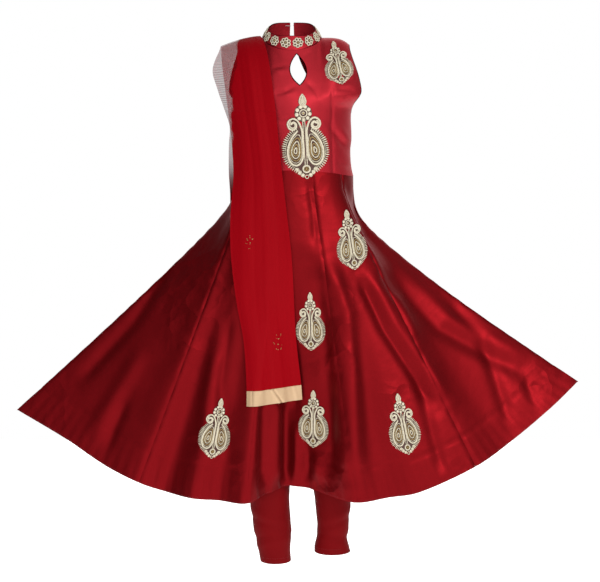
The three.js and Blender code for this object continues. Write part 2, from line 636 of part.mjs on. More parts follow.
function gridSurface(grid) {
  const rows = grid.length - 1;
  const columns = grid[0].length - 1;
  return (u, v) => {
    const i = Math.min(Math.floor(u * columns), columns - 1);
    const j = Math.min(Math.floor(v * rows), rows - 1);
    const across = u * columns - i;
    const top = grid[j][i].clone().lerp(grid[j][i + 1], across);
    return top.lerp(grid[j + 1][i].clone().lerp(grid[j + 1][i + 1], across), v * rows - j);
  };
}

// How far the panel stands proud of a straight line between two places on it
function proud(from, to) {
  const gaps = [0.25, 0.5, 0.75].map((share) => {
    const middle = from.clone().lerp(to, share);
    return middle.y - touch(middle.x, middle.z, FRONT).point.y;
  });
  return Math.max(0, ...gaps);
}

function makePatches() {
  for (const patch of PATCHES) {
    const halves = steps(-1, 1, 2 * Math.round(patch.width / PATCH_CELL / 2));
    const turn = degToRad(patch.tilt);
    const rows = [...PATCH_OUTLINE].reverse();
    const hits = rows.map((row) =>
      halves.map((share) => {
        const below = (0.5 - row.up) * patch.height;
        const aside = (share * row.half * patch.width) / 2;
        const x = patch.x + aside * Math.cos(turn) + below * Math.sin(turn);
        const z = patch.z + aside * Math.sin(turn) - below * Math.cos(turn);
        return touch(x, z, FRONT);
      })
    );
    let lift = PATCH_GAP;
    for (let j = 0; j < rows.length - 1; j += 1) {
      for (let i = 0; i < halves.length - 1; i += 1) {
        const here = hits[j][i].point;
        const around = [hits[j][i + 1], hits[j + 1][i], hits[j + 1][i + 1]];
        lift = Math.max(lift, ...around.map((hit) => PATCH_GAP + patch.ridge * proud(here, hit.point)));
      }
    }
    const raised = (hit) => hit.point.clone().addScaledVector(hit.face.normal, lift);
    const grid = hits.map((row) => row.map(raised));
    const last = rows.length - 1;
    const relief = (u, v) => {
      const lobe = Math.abs(Math.sin(2 * Math.PI * u));
      return PATCH_WALL + PATCH_RELIEF * lobe * rows[Math.round(v * last)].lobes;
    };
    const columns = steps(0, 1, halves.length - 1);
    const wall = clothWall(gridSurface(grid), columns, steps(0, 1, last), FRONT, relief);
    addPiece(patch.name, wall, COLOURS.thread, 0.55);
  }
}

// Dupatta

// Cloth that is pulled tight over a row of places: each lies on the longest straight span over it
function taut(places, values) {
  return values.map((value, i) => {
    let best = value;
    for (let a = 0; a <= i; a += 1) {
      for (let b = i + 1; b < values.length; b += 1) {
        const share = (places[i] - places[a]) / (places[b] - places[a]);
        best = Math.max(best, lerp(values[a], values[b], share));
      }
    }
    return best;
  });
}

// How far out of the panels each place lies, in front or behind, with the cloth's edge free past the body
function fallDepths(xs, z, facing, clear) {
  const found = xs.map((x) => touch(x, z, facing));
  const first = found.findIndex((hit) => hit !== null);
  const depths = found.map((hit, i) => {
    if (hit) return hit.point.y * facing + clear;
    return found[first].point.y * facing + clear - FREE_SLOPE * Math.abs(xs[first] - xs[i]);
  });
  return taut(xs, depths);
}

const shares = steps(0, 1, DUPATTA_COLUMNS);
const pleat = (share) => PLEATS.height * (1 - Math.cos(2 * Math.PI * PLEATS.count * share)) * 0.5;

// One place of the round over the shoulder, at an angle from the top, in front below zero
function overPlace(share, angle) {
  const edge = (side) => along(DUPATTA_OVER, "angle", angle, side);
  const x = lerp(edge("left"), edge("right"), share);
  const sink = Math.max(0, DUPATTA_TOP.from - x) / DUPATTA_TOP.width;
  const top = DUPATTA_TOP.z - DUPATTA_TOP.drop * sink ** DUPATTA_TOP.bend + DUPATTA_CLEAR.shoulder;
  return { x, top, z: CHEST + (top - CHEST) * Math.cos(degToRad(angle)) };
}

// How deep that round has to be in front, or behind, to clear the bodice under it
function shoulderReach(facing) {
  const xs = shares.map((share) => overPlace(share, facing * 90).x);
  const reach = shares.map((share) => {
    const needs = steps(18, 90, OVER_ROWS).map((angle) => {
      const place = overPlace(share, facing * angle);
      const hit = touch(place.x, place.z, facing);
      return hit ? (hit.point.y * facing + DUPATTA_CLEAR.round) / Math.sin(degToRad(angle)) : 0;
    });
    return Math.max(...needs);
  });
  const first = reach.findIndex((value) => value > 0);
  const filled = reach.map((value, i) => value || reach[first] - FREE_SLOPE * Math.abs(xs[first] - xs[i]));
  return taut(xs, filled);
}

function fallGrid(rows, facing, reach) {
  const foot = rows[0].z;
  const tilt = facing === FRONT ? BORDER_TILT : 0;
  const levels = steps(CHEST, foot, DUPATTA_ROWS);
  const places = levels.map((level) =>
    shares.map((share) => {
      const z = level + tilt * share * smoothstep(CHEST - level, 0, CHEST - foot);
      return { x: lerp(along(rows, "z", z, "left"), along(rows, "z", z, "right"), share), z };
    })
  );
  const depths = places.map((row, j) => {
    if (j === 0) return reach;
    return fallDepths(row.map((place) => place.x), row[0].z, facing, DUPATTA_CLEAR.fall);
  });
  const tight = shares.map((_, i) => taut(levels.map((z) => -z), depths.map((row) => row[i])));
  return places.map((row, j) =>
    row.map((place, i) => new THREE.Vector3(place.x, facing * (tight[i][j] + pleat(shares[i])), place.z))
  );
}

function overGrid(reach) {
  return steps(-90, 90, OVER_ROWS).map((angle) =>
    shares.map((share, i) => {
      const place = overPlace(share, angle);
      const turn = degToRad(angle);
      const side = angle < 0 ? FRONT : BACK;
      const depth = (reach[side][i] + pleat(share)) * Math.sin(turn);
      return new THREE.Vector3(place.x, depth, place.z);
    })
  );
}

function makeDupatta() {
  const reach = { [FRONT]: shoulderReach(FRONT), [BACK]: shoulderReach(BACK) };
  const front = fallGrid(DUPATTA_FRONT, FRONT, reach[FRONT]);
  const back = fallGrid(DUPATTA_BACK, BACK, reach[BACK]);
  const over = overGrid(reach);
  for (const [side, grid, facing] of [["front", front, FRONT], ["back", back, BACK]]) {
    const bandShare = BORDER / (CHEST - grid[DUPATTA_ROWS][0].z);
    const surface = gridSurface(grid);
    const net = steps(0, 1 - bandShare, DUPATTA_ROWS);
    const band = steps(1 - bandShare, 1, 2);
    addPiece(`dupatta_${side}`, clothWall(surface, shares, net, facing, NET), COLOURS.net, 0.8);
    addPiece(`dupatta_border_${side}`, clothWall(surface, shares, band, facing, NET), COLOURS.border, 0.4);
  }
  const shoulder = clothWall(gridSurface(over), shares, steps(0, 1, OVER_ROWS), BACK, NET);
  addPiece("dupatta_shoulder", shoulder, COLOURS.net, 0.8);
}

makeBodice();
makeCollar();
makeFastening();
makeSkirt();
makePatches();
makeDupatta();
makeChuridar();

export default suit;
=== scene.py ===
# A girl's salwar suit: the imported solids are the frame, and everything that shows is dressed here in
# satin, taffeta, knit, folded net, gold braid and stitched patches. Tables are in mm, meshes in metres.
import math
from collections import namedtuple

import bmesh
import bpy
import numpy as np
from bpy.props import FloatProperty, FloatVectorProperty, IntProperty, PointerProperty
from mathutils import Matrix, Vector
from mathutils.bvhtree import BVHTree


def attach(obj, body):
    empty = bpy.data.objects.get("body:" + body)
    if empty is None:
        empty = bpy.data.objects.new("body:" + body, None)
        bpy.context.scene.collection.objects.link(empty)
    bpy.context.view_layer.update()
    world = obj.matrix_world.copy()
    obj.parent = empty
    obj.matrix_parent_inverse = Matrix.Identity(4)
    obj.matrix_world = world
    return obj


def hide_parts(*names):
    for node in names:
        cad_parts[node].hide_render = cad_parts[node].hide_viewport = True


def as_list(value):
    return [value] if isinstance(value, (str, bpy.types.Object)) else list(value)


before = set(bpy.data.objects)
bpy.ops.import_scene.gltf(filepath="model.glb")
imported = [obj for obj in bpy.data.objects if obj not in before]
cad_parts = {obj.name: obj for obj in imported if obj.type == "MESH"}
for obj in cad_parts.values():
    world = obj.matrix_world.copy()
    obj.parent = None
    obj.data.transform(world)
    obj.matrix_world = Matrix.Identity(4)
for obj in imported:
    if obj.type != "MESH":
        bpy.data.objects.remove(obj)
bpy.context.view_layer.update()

bl_info = {
    "name": "Salwar suit",
    "version": (1, 0, 0),
    "blender": (4, 5, 0),
    "location": "3D View > Sidebar > Salwar suit",
    "description": "Dresses the packed salwar suit in its cloth, embroidery and stitching",
    "category": "Object",
}

MM = 0.001
FRONT, BACK = -1, 1
PIECES = {}


def linear(code):
    """An sRGB hex colour as linear red, green, blue and alpha"""
    channels = [(code >> shift & 255) / 255 for shift in (16, 8, 0)]
    return [c / 12.92 if c <= 0.04045 else ((c + 0.055) / 1.055) ** 2.4 for c in channels] + [1.0]


def table(columns, *rows):
    """A table as one array for each named column"""
    return dict(zip(columns.split(), np.array(rows, float).T))


# Sizes of the garment, the same as the solids'
SEAM = 0.3
LAP = 0.25  # how far sewn cloth reaches past its seam
WAIST = {"front": -252, "back": -256, "side": -268}
UNDERARM, ARMHOLE_FULL, ARMHOLE_ANGLE = -142, -108, 60
NECK = {"x": -12, "half": 58, "front": 60, "back": 52, "side_z": 2.5, "front_z": -22, "back_z": 5.5}
COLLAR = {"half": 44.5, "front": 50, "back": 45, "front_z": 6, "back_z": 33.5, "gap": 4, "inset": 2.4,
          "wall": 1.5}
TIP = {"left": -115, "right": 100, "z": -11}
NECK_SHARE = 0.5
BACK_DEPTH = 0.97
BODICE = table(
    "z mid half depth",
    (-270, -6.5, 115.5, 88), (-250, -6.5, 111, 87.5), (-217, -6, 108.5, 88), (-186, -5.5, 110, 90),
    (-147, -5, 108.5, 93), (-126, -5, 113, 94), (-105, -5, 128, 94), (-93, -5, 130.5, 93),
    (-57, -6, 128, 91), (-30, -7, 120, 88), (-10, -7.5, 107.5, 86),
)
KEYHOLE = {"top": (-2.6, -27.5), "bottom": (3.6, -88.4), "widest": -62, "half": 16.2}
DROP = {"top": (-12, 30), "neck": 3.5, "bottom": (-5, -122), "widest": -84, "half": 28, "corner": 8}
HEM = {
    FRONT: table(
        "at x y z fold hang flare",
        (0, -566, 0, -739, 0, 0.1, 1.05), (0.087, -457, -55, -790, 0, 0.1, 1.05),
        (0.148, -381, -90, -833, 0, 0.07, 1.03), (0.2, -312, -120, -861, 0, 0.03, 1),
        (0.25, -262, -130, -882, 26, 0, 1), (0.3, -208, -139, -888, 0, 0, 1),
        (0.35, -156, -146, -895, 20, 0, 1), (0.4, -100, -150, -896, 0, 0, 1),
        (0.4385, -65, -153, -889, 48, 0, 1), (0.4855, -20, -155, -883, 103, 0, 1),
        (0.5247, 33, -155, -886, 80, 0, 1), (0.56, 67, -153, -890, 38, 0, 1),
        (0.6, 115, -150, -894, 0, 0, 1), (0.65, 176, -146, -887, 9, 0, 1),
        (0.7, 236, -140, -876, 0, 0, 1), (0.8, 349, -110, -831, 0, 0.04, 1.03),
        (0.862, 418, -78, -793, 10, 0.11, 1.1), (0.944, 505, -35, -728, 0, 0.165, 1.2),
        (1, 563, 0, -681, 0, 0.17, 1.15),
    ),
    BACK: table(
        "at x y z fold hang flare",
        (0, -566, 0, -739, 0, 0.1, 1.05), (0.1, -434, 66, -803, -8, 0.09, 1.05),
        (0.2, -316, 120, -853, 0, 0.03, 1), (0.26, -250, 132, -872, -34, 0, 1),
        (0.33, -172, 145, -887, 0, 0, 1), (0.4, -104, 150, -893, -12, 0, 1),
        (0.46, -46, 153, -896, -58, 0, 1), (0.52, 12, 154, -897, -6, 0, 1),
        (0.6, 104, 150, -892, 0, 0, 1), (0.66, 178, 146, -881, -46, 0, 1),
        (0.73, 262, 134, -860, 0, 0, 1), (0.8, 346, 110, -823, 0, 0.04, 1.03),
        (0.89, 450, 60, -765, -12, 0.14, 1.14), (1, 563, 0, -681, 0, 0.17, 1.15),
    ),
}
GORES = 5
FOLD_START, FOLD_GROWTH, HANG_BEND = 0.22, 1.2, 0.07
BAND = {"height": 30, "below": 2, "clear": 0.4, "wall": 1.2}
HIPS = {"z": -400, "half": 116, "depth": 97}
CROTCH = {"x": -4, "z": -470, "curve": 110}
LEGS = {
    "left": table(
        "z centre half depth",
        (-1050, -45.4, 30, 32), (-1027, -48.2, 31.2, 33), (-990, -51.3, 36.3, 36), (-930, -57, 38.6, 41),
        (-860, -58.5, 42, 46), (-700, -60, 45, 49), (-470, -61.5, 56, 64),
    ),
    "right": table(
        "z centre half depth",
        (-1031, 70, 35.5, 35), (-1018, 68, 33, 33), (-1004, 69, 30.5, 32), (-980, 71, 30.5, 34),
        (-928, 70.5, 35, 40), (-860, 68, 41, 45), (-700, 60, 45, 49), (-470, 53.5, 56, 64),
    ),
}
FALLS = {
    FRONT: table(
        "z left right",
        (-708, -99, 8), (-674, -99, 6), (-582, -105, -4), (-507, -119, -8), (-417, -130, -12),
        (-343, -131, -20), (-266, -125, -29), (-200, -128, -36), (-138, -135, -42),
    ),
    BACK: table(
        "z left right",
        (-762, -132, -28), (-600, -138, -32), (-450, -140, -38), (-315, -137, -42),
        (-265, -139, -45), (-208, -138, -50), (-172, -136, -55), (-138, -146, -60),
    ),
}
OVER = table(
    "angle left right",
    (-90, -135, -42), (-45, -147, -57), (0, -151, -75), (20, -155, -76), (48, -169, -74),
    (70, -160, -68), (90, -146, -60),
)
CHEST = -138
DUPATTA = {"z": 4.2, "drop": 20, "from": -75, "width": 77, "bend": 1.6, "slope": 0.3, "border": 32, "tilt": 6}
CLEAR = {"shoulder": 1, "round": 2, "fall": 3.4}
PLEATS = {"count": 2.5, "height": 1.7}
SPRIGS = {FRONT: ((-53, -64), (-92, -392), (-40, -590)), BACK: ((-96, -250), (-70, -480), (-110, -640))}
Patch = namedtuple("Patch", "name x z width height tilt")
PATCHES = [
    Patch("motif_chest", 12.7, -187.5, 91, 164, 3.4),
    Patch("motif_shoulder", 77, -46, 56, 84, 12),
    Patch("motif_skirt_1", 102, -388, 60, 117, 9),
    Patch("motif_skirt_2", 24.5, -546, 58, 115, 1.5),
    Patch("motif_skirt_3", 30.5, -741, 60, 117, 0),
    Patch("motif_skirt_4", 204.5, -744, 62, 120, 11),
    Patch("motif_skirt_5", -159.5, -753.5, 62, 118, -10),
]
FLOWER_PAIRS, FLOWER_STEP = 6, 26.5

# Creases laid one by one: how far each presses in (below zero) or stands out, how wide it is, and its path
# in X and Z over the panels of that side.
Crease = namedtuple("Crease", "depth width path")
CREASE_END, CREASE_FADE = 0.25, 3.5  # the share of its depth at its ends, and the widths that it fades over
BODICE_CREASES = {
    FRONT: [
        Crease(-1.9, 3, [(66, -95), (66, -193), (68, -262)]),
        Crease(-1.9, 3, [(-78, -95), (-78, -193), (-80, -262)]),
        Crease(-3.7, 6, [(60, -160), (72, -180), (95, -213)]),
        Crease(2.7, 7, [(74, -165), (104, -205)]),
        Crease(-2.0, 4, [(-54, -55), (-21, -52)]),
        Crease(2.0, 5, [(-52, -64), (-24, -61)]),
        Crease(-2.4, 4, [(-6, -92), (-25, -102), (-52, -106)]),
        Crease(2.0, 5, [(-10, -100), (-34, -112)]),
        Crease(-2.2, 4, [(15, -80), (29, -94), (46, -118)]),
        Crease(-2.7, 5, [(66, -86), (92, -82), (112, -72)]),
        Crease(-2.0, 4, [(70, -94), (96, -97), (116, -104)]),
        Crease(2.4, 6, [(72, -112), (98, -122)]),
        Crease(-1.7, 4, [(26, -20), (14, -32)]),
        Crease(-1.7, 5, [(-44, -26), (-36, -40)]),
        Crease(-2.2, 7, [(-60, -150), (-20, -158), (20, -152)]),
        Crease(-2.0, 6, [(70, -236), (98, -246), (104, -262)]),
    ],
    BACK: [
        Crease(-1.9, 3, [(66, -95), (66, -262)]),
        Crease(-1.9, 3, [(-78, -95), (-78, -262)]),
        Crease(-2.7, 6, [(-38, -124), (-62, -150), (-70, -190)]),
        Crease(-2.7, 6, [(30, -124), (58, -156), (84, -170)]),
        Crease(2.0, 7, [(-20, -150), (0, -196)]),
        Crease(-2.2, 8, [(-84, -224), (-30, -236), (34, -226), (90, -238)]),
        Crease(-2.0, 5, [(80, -86), (108, -96)]),
    ],
}
SKIRT_CREASES = {
    FRONT: [
        Crease(-8.0, 12, [(118, -452), (169, -561), (272, -719)]),
        Crease(5.1, 14, [(136, -446), (196, -560), (296, -706)]),
        Crease(13.0, 19, [(50, -410), (94, -530), (104, -664), (110, -860)]),
        Crease(-13.0, 18, [(24, -450), (48, -540), (54, -664), (60, -860)]),
        Crease(-10.0, 10, [(-64, -690), (-68, -880)]),
        Crease(10.0, 10, [(-44, -690), (-46, -880)]),
        Crease(-10.0, 10, [(-22, -700), (-24, -880)]),
        Crease(9.0, 10, [(-4, -740), (-4, -880)]),
        Crease(-9.0, 10, [(18, -790), (18, -880)]),
        Crease(9.0, 10, [(40, -800), (40, -880)]),
        Crease(-6.0, 16, [(151, -438), (279, -567), (458, -666)]),
        Crease(4.1, 16, [(160, -420), (300, -545), (470, -640)]),
        Crease(-5.1, 13, [(290, -514), (367, -587), (424, -767)]),
        Crease(-4.1, 10, [(446, -656), (479, -734)]),
        Crease(-6.0, 12, [(-336, -696), (-385, -813)]),
        Crease(4.6, 16, [(-300, -600), (-372, -720), (-420, -790)]),
        Crease(-5.5, 13, [(-250, -440), (-330, -560), (-440, -680)]),
        Crease(5.5, 12, [(-154, -590), (-176, -697), (-186, -800)]),
        Crease(-6.4, 13, [(-130, -520), (-150, -660), (-140, -800)]),
        Crease(-4.6, 10, [(-62, -270), (-74, -380), (-96, -480)]),
        Crease(3.7, 10, [(-40, -266), (-50, -360)]),
        Crease(-3.7, 8, [(20, -258), (30, -330), (36, -400)]),
        Crease(-3.2, 8, [(86, -264), (120, -350), (150, -410)]),
        Crease(-5.1, 12, [(230, -640), (262, -760), (286, -850)]),
        Crease(4.1, 10, [(190, -480), (236, -590)]),
        Crease(-4.1, 10, [(-8, -600), (-6, -740), (-14, -860)]),
    ],
    BACK: [
        Crease(-7.4, 14, [(-100, -420), (-150, -600), (-180, -800)]),
        Crease(5.5, 16, [(-60, -400), (-84, -600), (-96, -820)]),
        Crease(-6.0, 16, [(-180, -430), (-300, -580), (-430, -700)]),
        Crease(-5.5, 13, [(20, -360), (26, -560), (40, -800)]),
        Crease(5.1, 16, [(60, -380), (96, -580), (120, -820)]),
        Crease(-6.9, 14, [(110, -430), (190, -600), (250, -780)]),
        Crease(-5.1, 13, [(180, -400), (320, -560), (470, -680)]),
        Crease(4.1, 16, [(240, -560), (330, -700), (380, -790)]),
        Crease(-3.7, 9, [(-40, -266), (-60, -360)]),
        Crease(-3.7, 9, [(50, -266), (70, -360)]),
    ],
}
# Soft rings where the churidar's knit gathers above the ankle and behind the knee
LEG_RINGS = table(
    "depth z slant width",
    (1.2, -1012, 0.3, 7), (-1.4, -1000, 0.25, 6), (1.3, -985, -0.3, 8), (-1.3, -968, -0.2, 7),
    (1.0, -946, 0.35, 9), (-1.0, -922, 0.2, 9), (0.8, -890, -0.4, 11), (-1.6, -700, 0.2, 14),
    (1.0, -672, -0.3, 16),
)


def along(rows, key, place, column):
    """A column of a table at places along its key, on a smooth curve through the rows"""
    keys, values = rows[key], rows[column]
    last = len(keys) - 1
    at = np.clip(place, keys[0], keys[last])
    i = np.clip(np.searchsorted(keys, at) - 1, 0, last - 1)
    low, high = np.maximum(np.arange(last + 1) - 1, 0), np.minimum(np.arange(last + 1) + 1, last)
    slope = (values[high] - values[low]) / (keys[high] - keys[low])
    span = keys[i + 1] - keys[i]
    t = (at - keys[i]) / span
    ease = t * t * (3 - 2 * t)
    bends = t * (1 - t) ** 2 * slope[i] + t * t * (t - 1) * slope[i + 1]
    return values[i] * (1 - ease) + values[i + 1] * ease + span * bends


def smooth(x, low, high):
    t = np.clip((x - low) / (high - low), 0, 1)
    return t * t * (3 - 2 * t)


def mix(a, b, t):
    return a + (b - a) * t


def stack(x, y, z):
    return np.stack(np.broadcast_arrays(x, y, z), -1).astype(float)


# The garment's surfaces, as the solids have them: u from left to right and v from top to bottom


def waist_height(angle, facing):
    middle = np.where(facing == FRONT, WAIST["front"], WAIST["back"])
    return mix(middle, WAIST["side"], np.sin(angle) ** 2)


def top_edge(across, facing):
    side = np.sign(across)
    share = np.abs(across) / NECK_SHARE
    turn = np.minimum(share, 1) * np.pi / 2
    front = np.cos(turn) * -facing
    tilt = (NECK["front_z"] - NECK["back_z"]) / 2
    bow = (NECK["front_z"] + NECK["back_z"]) / 2 - NECK["side_z"]
    depth = np.where(facing == FRONT, NECK["front"], NECK["back"])
    neck = stack(NECK["x"] + side * NECK["half"] * np.sin(turn), facing * depth * np.cos(turn),
                 NECK["side_z"] + tilt * front + bow * front * front)
    out = np.clip((np.abs(across) - NECK_SHARE) / (1 - NECK_SHARE), 0, 1)
    tip = np.where(side < 0, TIP["left"], TIP["right"])
    shoulder = stack(mix(NECK["x"] + side * NECK["half"], tip, out), 0 * out,
                     mix(NECK["side_z"], TIP["z"], out ** 4))
    return np.where((share > 1)[..., None], shoulder, neck)


def bodice_surface(facing):
    def surface(u, v):
        across = 2 * u - 1
        rounding = np.sin(np.pi / 2 * np.clip(1 - 2 * v, 0, 1))
        up = np.where(v < 0.5, 0.5 + 0.5 * rounding, 1 - v)
        top = top_edge(across, facing)
        waist = waist_height(across * np.pi / 2, facing)
        z = mix(waist, top[..., 2], up)
        edge = np.radians(mix(90, ARMHOLE_ANGLE, smooth(z, UNDERARM, ARMHOLE_FULL)))
        depth = along(BODICE, "z", z, "depth") * (BACK_DEPTH if facing == BACK else 1)
        half = along(BODICE, "z", z, "half")
        x = along(BODICE, "z", z, "mid") + half * np.sin(across * edge) / np.sin(edge)
        y = facing * depth * np.cos(across * edge)
        shoulder = smooth(np.abs(across), 0.3, 0.55)
        turn = mix(rounding ** 1.6, 1 - np.sqrt(1 - np.minimum(rounding, 1) ** 2), shoulder)
        return stack(mix(x, top[..., 0], rounding ** 2), mix(y, top[..., 1], turn), z)
    return surface


def collar_surface(u, v):
    angle = np.radians((2 * u - 1) * (180 - COLLAR["gap"]))
    facing = np.where(np.abs(angle) < np.pi / 2, FRONT, BACK)
    turn = np.where(facing == FRONT, angle, np.sign(angle) * (np.pi - np.abs(angle)))
    front = np.cos(angle)
    base = top_edge(turn / np.pi * 2 * NECK_SHARE, facing)
    base = base + stack(-COLLAR["inset"] * np.sin(angle), COLLAR["inset"] * front, 0 * front)
    depth = np.where(facing == FRONT, COLLAR["front"], COLLAR["back"])
    z = mix(COLLAR["front_z"], COLLAR["back_z"], smooth(-front, -1, 1))
    top = stack(NECK["x"] + COLLAR["half"] * np.sin(angle), -depth * front, z)
    return mix(top, base, np.asarray(v)[..., None])


def waist_point(angle, facing, inset=0):
    z = waist_height(angle, facing)
    half = along(BODICE, "z", z, "half") - inset
    depth = along(BODICE, "z", z, "depth") * np.where(facing == BACK, BACK_DEPTH, 1) - inset
    return stack(along(BODICE, "z", z, "mid") + half * np.sin(angle), facing * depth * np.cos(angle), z)


def spread_at(v, hang):
    def bend(place):
        return place - hang + np.hypot(place - hang, HANG_BEND)
    return (bend(v) - bend(0)) / (bend(1) - bend(0))


def skirt_surface(facing):
    hem = HEM[facing]

    def surface(u, v):
        waist = waist_point((u - 0.5) * np.pi, facing)
        x, y, z, fold, hang, flare = (along(hem, "at", u, c) for c in "x y z fold hang flare".split())
        spread = spread_at(v, hang) ** flare
        fold = fold * np.maximum(0, (v - FOLD_START) / (1 - FOLD_START)) ** FOLD_GROWTH
        return stack(mix(waist[..., 0], x, spread), mix(waist[..., 1], y, v) + fold, mix(waist[..., 2], z, v))
    return surface


def band_surface(u, v):
    angle = (2 * u - 1) * np.pi
    facing = np.where(np.cos(angle) > 0, FRONT, BACK)
    turn = np.where(facing == FRONT, angle, np.sign(angle) * (np.pi - np.abs(angle)))
    point = waist_point(turn, facing, BAND["clear"] + BAND["wall"])
    point[..., 2] -= BAND["below"] + BAND["height"] * v
    return point


def leg_surface(side):
    rows = LEGS[side]
    sign = -1 if side == "left" else 1

    def surface(u, v):
        angle = (2 * u - 1) * np.pi
        facing = np.where(u < 0.5, FRONT, BACK)
        hip = np.cos(angle / 2)
        turn = np.sin(angle / 2)
        waist = waist_point(np.arcsin(np.clip(hip, -1, 1)) * sign, facing, BAND["clear"] + BAND["wall"])
        z = mix(waist[..., 2] - BAND["below"] - BAND["height"], rows["z"][0], v)
        down = smooth(-z, -waist[..., 2], -HIPS["z"])
        half = mix(np.abs(waist[..., 0] - CROTCH["x"]) / np.maximum(hip, 0.02), HIPS["half"], down)
        middle = mix(along(BODICE, "z", np.array(WAIST["side"]), "mid"), CROTCH["x"], down)
        sway = mix(np.abs(waist[..., 1]) / np.maximum(np.abs(turn), 0.02), HIPS["depth"], down)
        torso = stack(middle + sign * half * hip, sway * turn, z)
        limb = stack(along(rows, "z", z, "centre") + sign * along(rows, "z", z, "half") * np.cos(angle),
                     along(rows, "z", z, "depth") * np.sin(angle), z)
        apart = np.clip((CROTCH["z"] + CROTCH["curve"] - z) / CROTCH["curve"], 0, 1)
        return mix(torso, limb, (1 - np.sqrt(1 - apart * apart))[..., None])
    return surface


# Meshes


def unit(vectors):
    return vectors / np.maximum(np.linalg.norm(vectors, axis=-1, keepdims=True), 1e-9)


def normal_of(surface, u, v, facing):
    """The way out of a surface at each place, by small steps to its sides"""
    tiny = 0.004
    across = surface(np.minimum(u + tiny, 1), v) - surface(np.maximum(u - tiny, 0), v)
    down = surface(u, np.minimum(v + tiny, 1)) - surface(u, np.maximum(v - tiny, 0))
    return unit(np.cross(across, down)) * facing


def raised_off(surface, u, v, facing, rise):
    """Places on a surface, each moved out of it by its rise"""
    return surface(u, v) + normal_of(surface, u, v, facing) * np.asarray(rise)[..., None]


def grid_normals(points, facing):
    return unit(np.cross(np.gradient(points, axis=1), np.gradient(points, axis=0))) * facing


def set_back(points, half):
    """The grid with each edge a little inside its place, or past it below zero"""
    moved = points.copy()
    moved[:, 0] += half * unit(points[:, 1] - points[:, 0])
    moved[:, -1] += half * unit(points[:, -2] - points[:, -1])
    moved[0] += half * unit(points[1] - points[0])
    moved[-1] += half * unit(points[-2] - points[-1])
    return moved


def cloth_places(points):
    """How far across and down the cloth each place lies, in metres, across from the middle"""
    across = np.linalg.norm(np.diff(points, axis=1), axis=-1).cumsum(axis=1)
    across = np.pad(across, ((0, 0), (1, 0)))
    down = np.linalg.norm(np.diff(points, axis=0), axis=-1).cumsum(axis=0)
    down = np.pad(down, ((1, 0), (0, 0)))
    return np.stack([across - across[:, -1:] / 2, -down], -1) * MM


def put(name, mesh, *materials):
    """A new object of that mesh in the scene"""
    for material in materials:
        mesh.materials.append(material)
    piece = bpy.data.objects.new(name, mesh)
    bpy.context.scene.collection.objects.link(piece)
    return piece


def wall(name, points, facing, thickness, material, marks=None, back=SEAM / 2):
    """A closed wall of cloth over a grid of places on its inner side, with its cloth map in metres"""
    places = cloth_places(points)
    lift = grid_normals(points, facing) * thickness
    inner = set_back(points, back)
    rows, columns = points.shape[:2]
    count = rows * columns
    at = np.arange(count).reshape(rows, columns)
    faces = np.stack([at[:-1, :-1], at[:-1, 1:], at[1:, 1:], at[1:, :-1]], -1).reshape(-1, 4)
    edge = np.concatenate([at[0, :-1], at[:-1, -1], at[-1, :0:-1], at[:0:-1, 0]])
    after = np.roll(edge, -1)
    rim = np.stack([after, edge, edge + count, after + count], -1)
    faces = np.concatenate([faces, faces[:, ::-1] + count, rim])
    if facing < 0:
        faces = faces[:, ::-1]
    mesh = bpy.data.meshes.new(name)
    both = np.concatenate([(inner + lift).reshape(-1, 3), inner.reshape(-1, 3)]) * MM
    mesh.from_pydata(both.tolist(), [], faces.tolist())
    flat = np.tile(places.reshape(-1, 2), (2, 1))[faces.ravel()]
    mesh.uv_layers.new(name="cloth").uv.foreach_set("vector", flat.ravel())
    for key, values in (marks or {}).items():
        outer = values.reshape(-1)
        mesh.attributes.new(key, "FLOAT", "POINT").data.foreach_set("value", np.concatenate([outer, outer]))
    finish_mesh(mesh)
    return put(name, mesh, material)


SHARP_ANGLE = 60


def finish_mesh(mesh):
    """Smooth shading, but for the wall's own edges"""
    mesh.polygons.foreach_set("use_smooth", [True] * len(mesh.polygons))
    mesh.set_sharp_from_angle(angle=math.radians(SHARP_ANGLE))
    mesh.update()


def dress(piece, node):
    """The piece stands for that node, or rides beside it where node is None"""
    if node:
        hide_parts(node)
    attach(piece, "root")
    PIECES[piece.name] = piece


def sheet(points, held, rests_on):
    """Measures a cloth piece's widest row and longest column, and keeps neither"""
    across = np.linalg.norm(np.diff(points, axis=1), axis=-1).sum(axis=1).max() * MM
    down = np.linalg.norm(np.diff(points, axis=0), axis=-1).sum(axis=0).max() * MM
    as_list(rests_on)


def sew(node, points, facing, thickness, finish, slot, held, rests_on, opening=None, **more):
    """A cloth piece in its node's place: its wall, its opening and the node it stands for"""
    piece = wall(node + "_cloth", points, facing, thickness, finish_of(finish), **more)
    if opening is not None:
        cut(piece, opening, facing)
    dress(piece, node)
    sheet(points, held, rests_on)
    return piece


def sewn_pieces(*starts):
    """The pieces made so far whose names start so"""
    return [piece for name, piece in PIECES.items() if name.startswith(starts)]


def pressed(points, creases):
    """How far each place on a panel is pressed in or pushed out by its creases"""
    lift = np.zeros(points.shape[:-1])
    flat = points[..., [0, 2]]
    for crease in creases:
        apart = np.full(lift.shape, 1e9)
        for start, end in zip(crease.path, crease.path[1:]):
            reach = np.subtract(end, start)
            away = flat - start
            t = np.clip(away @ reach / (reach @ reach), 0, 1)
            apart = np.minimum(apart, np.linalg.norm(away - t[..., None] * reach, axis=-1))
        ends = [np.linalg.norm(flat - end, axis=-1) for end in (crease.path[0], crease.path[-1])]
        fade = smooth(np.minimum(*ends), 0, CREASE_FADE * crease.width)
        lift += crease.depth * mix(CREASE_END, 1, fade) * np.exp(-(apart / crease.width) ** 2)
    return lift


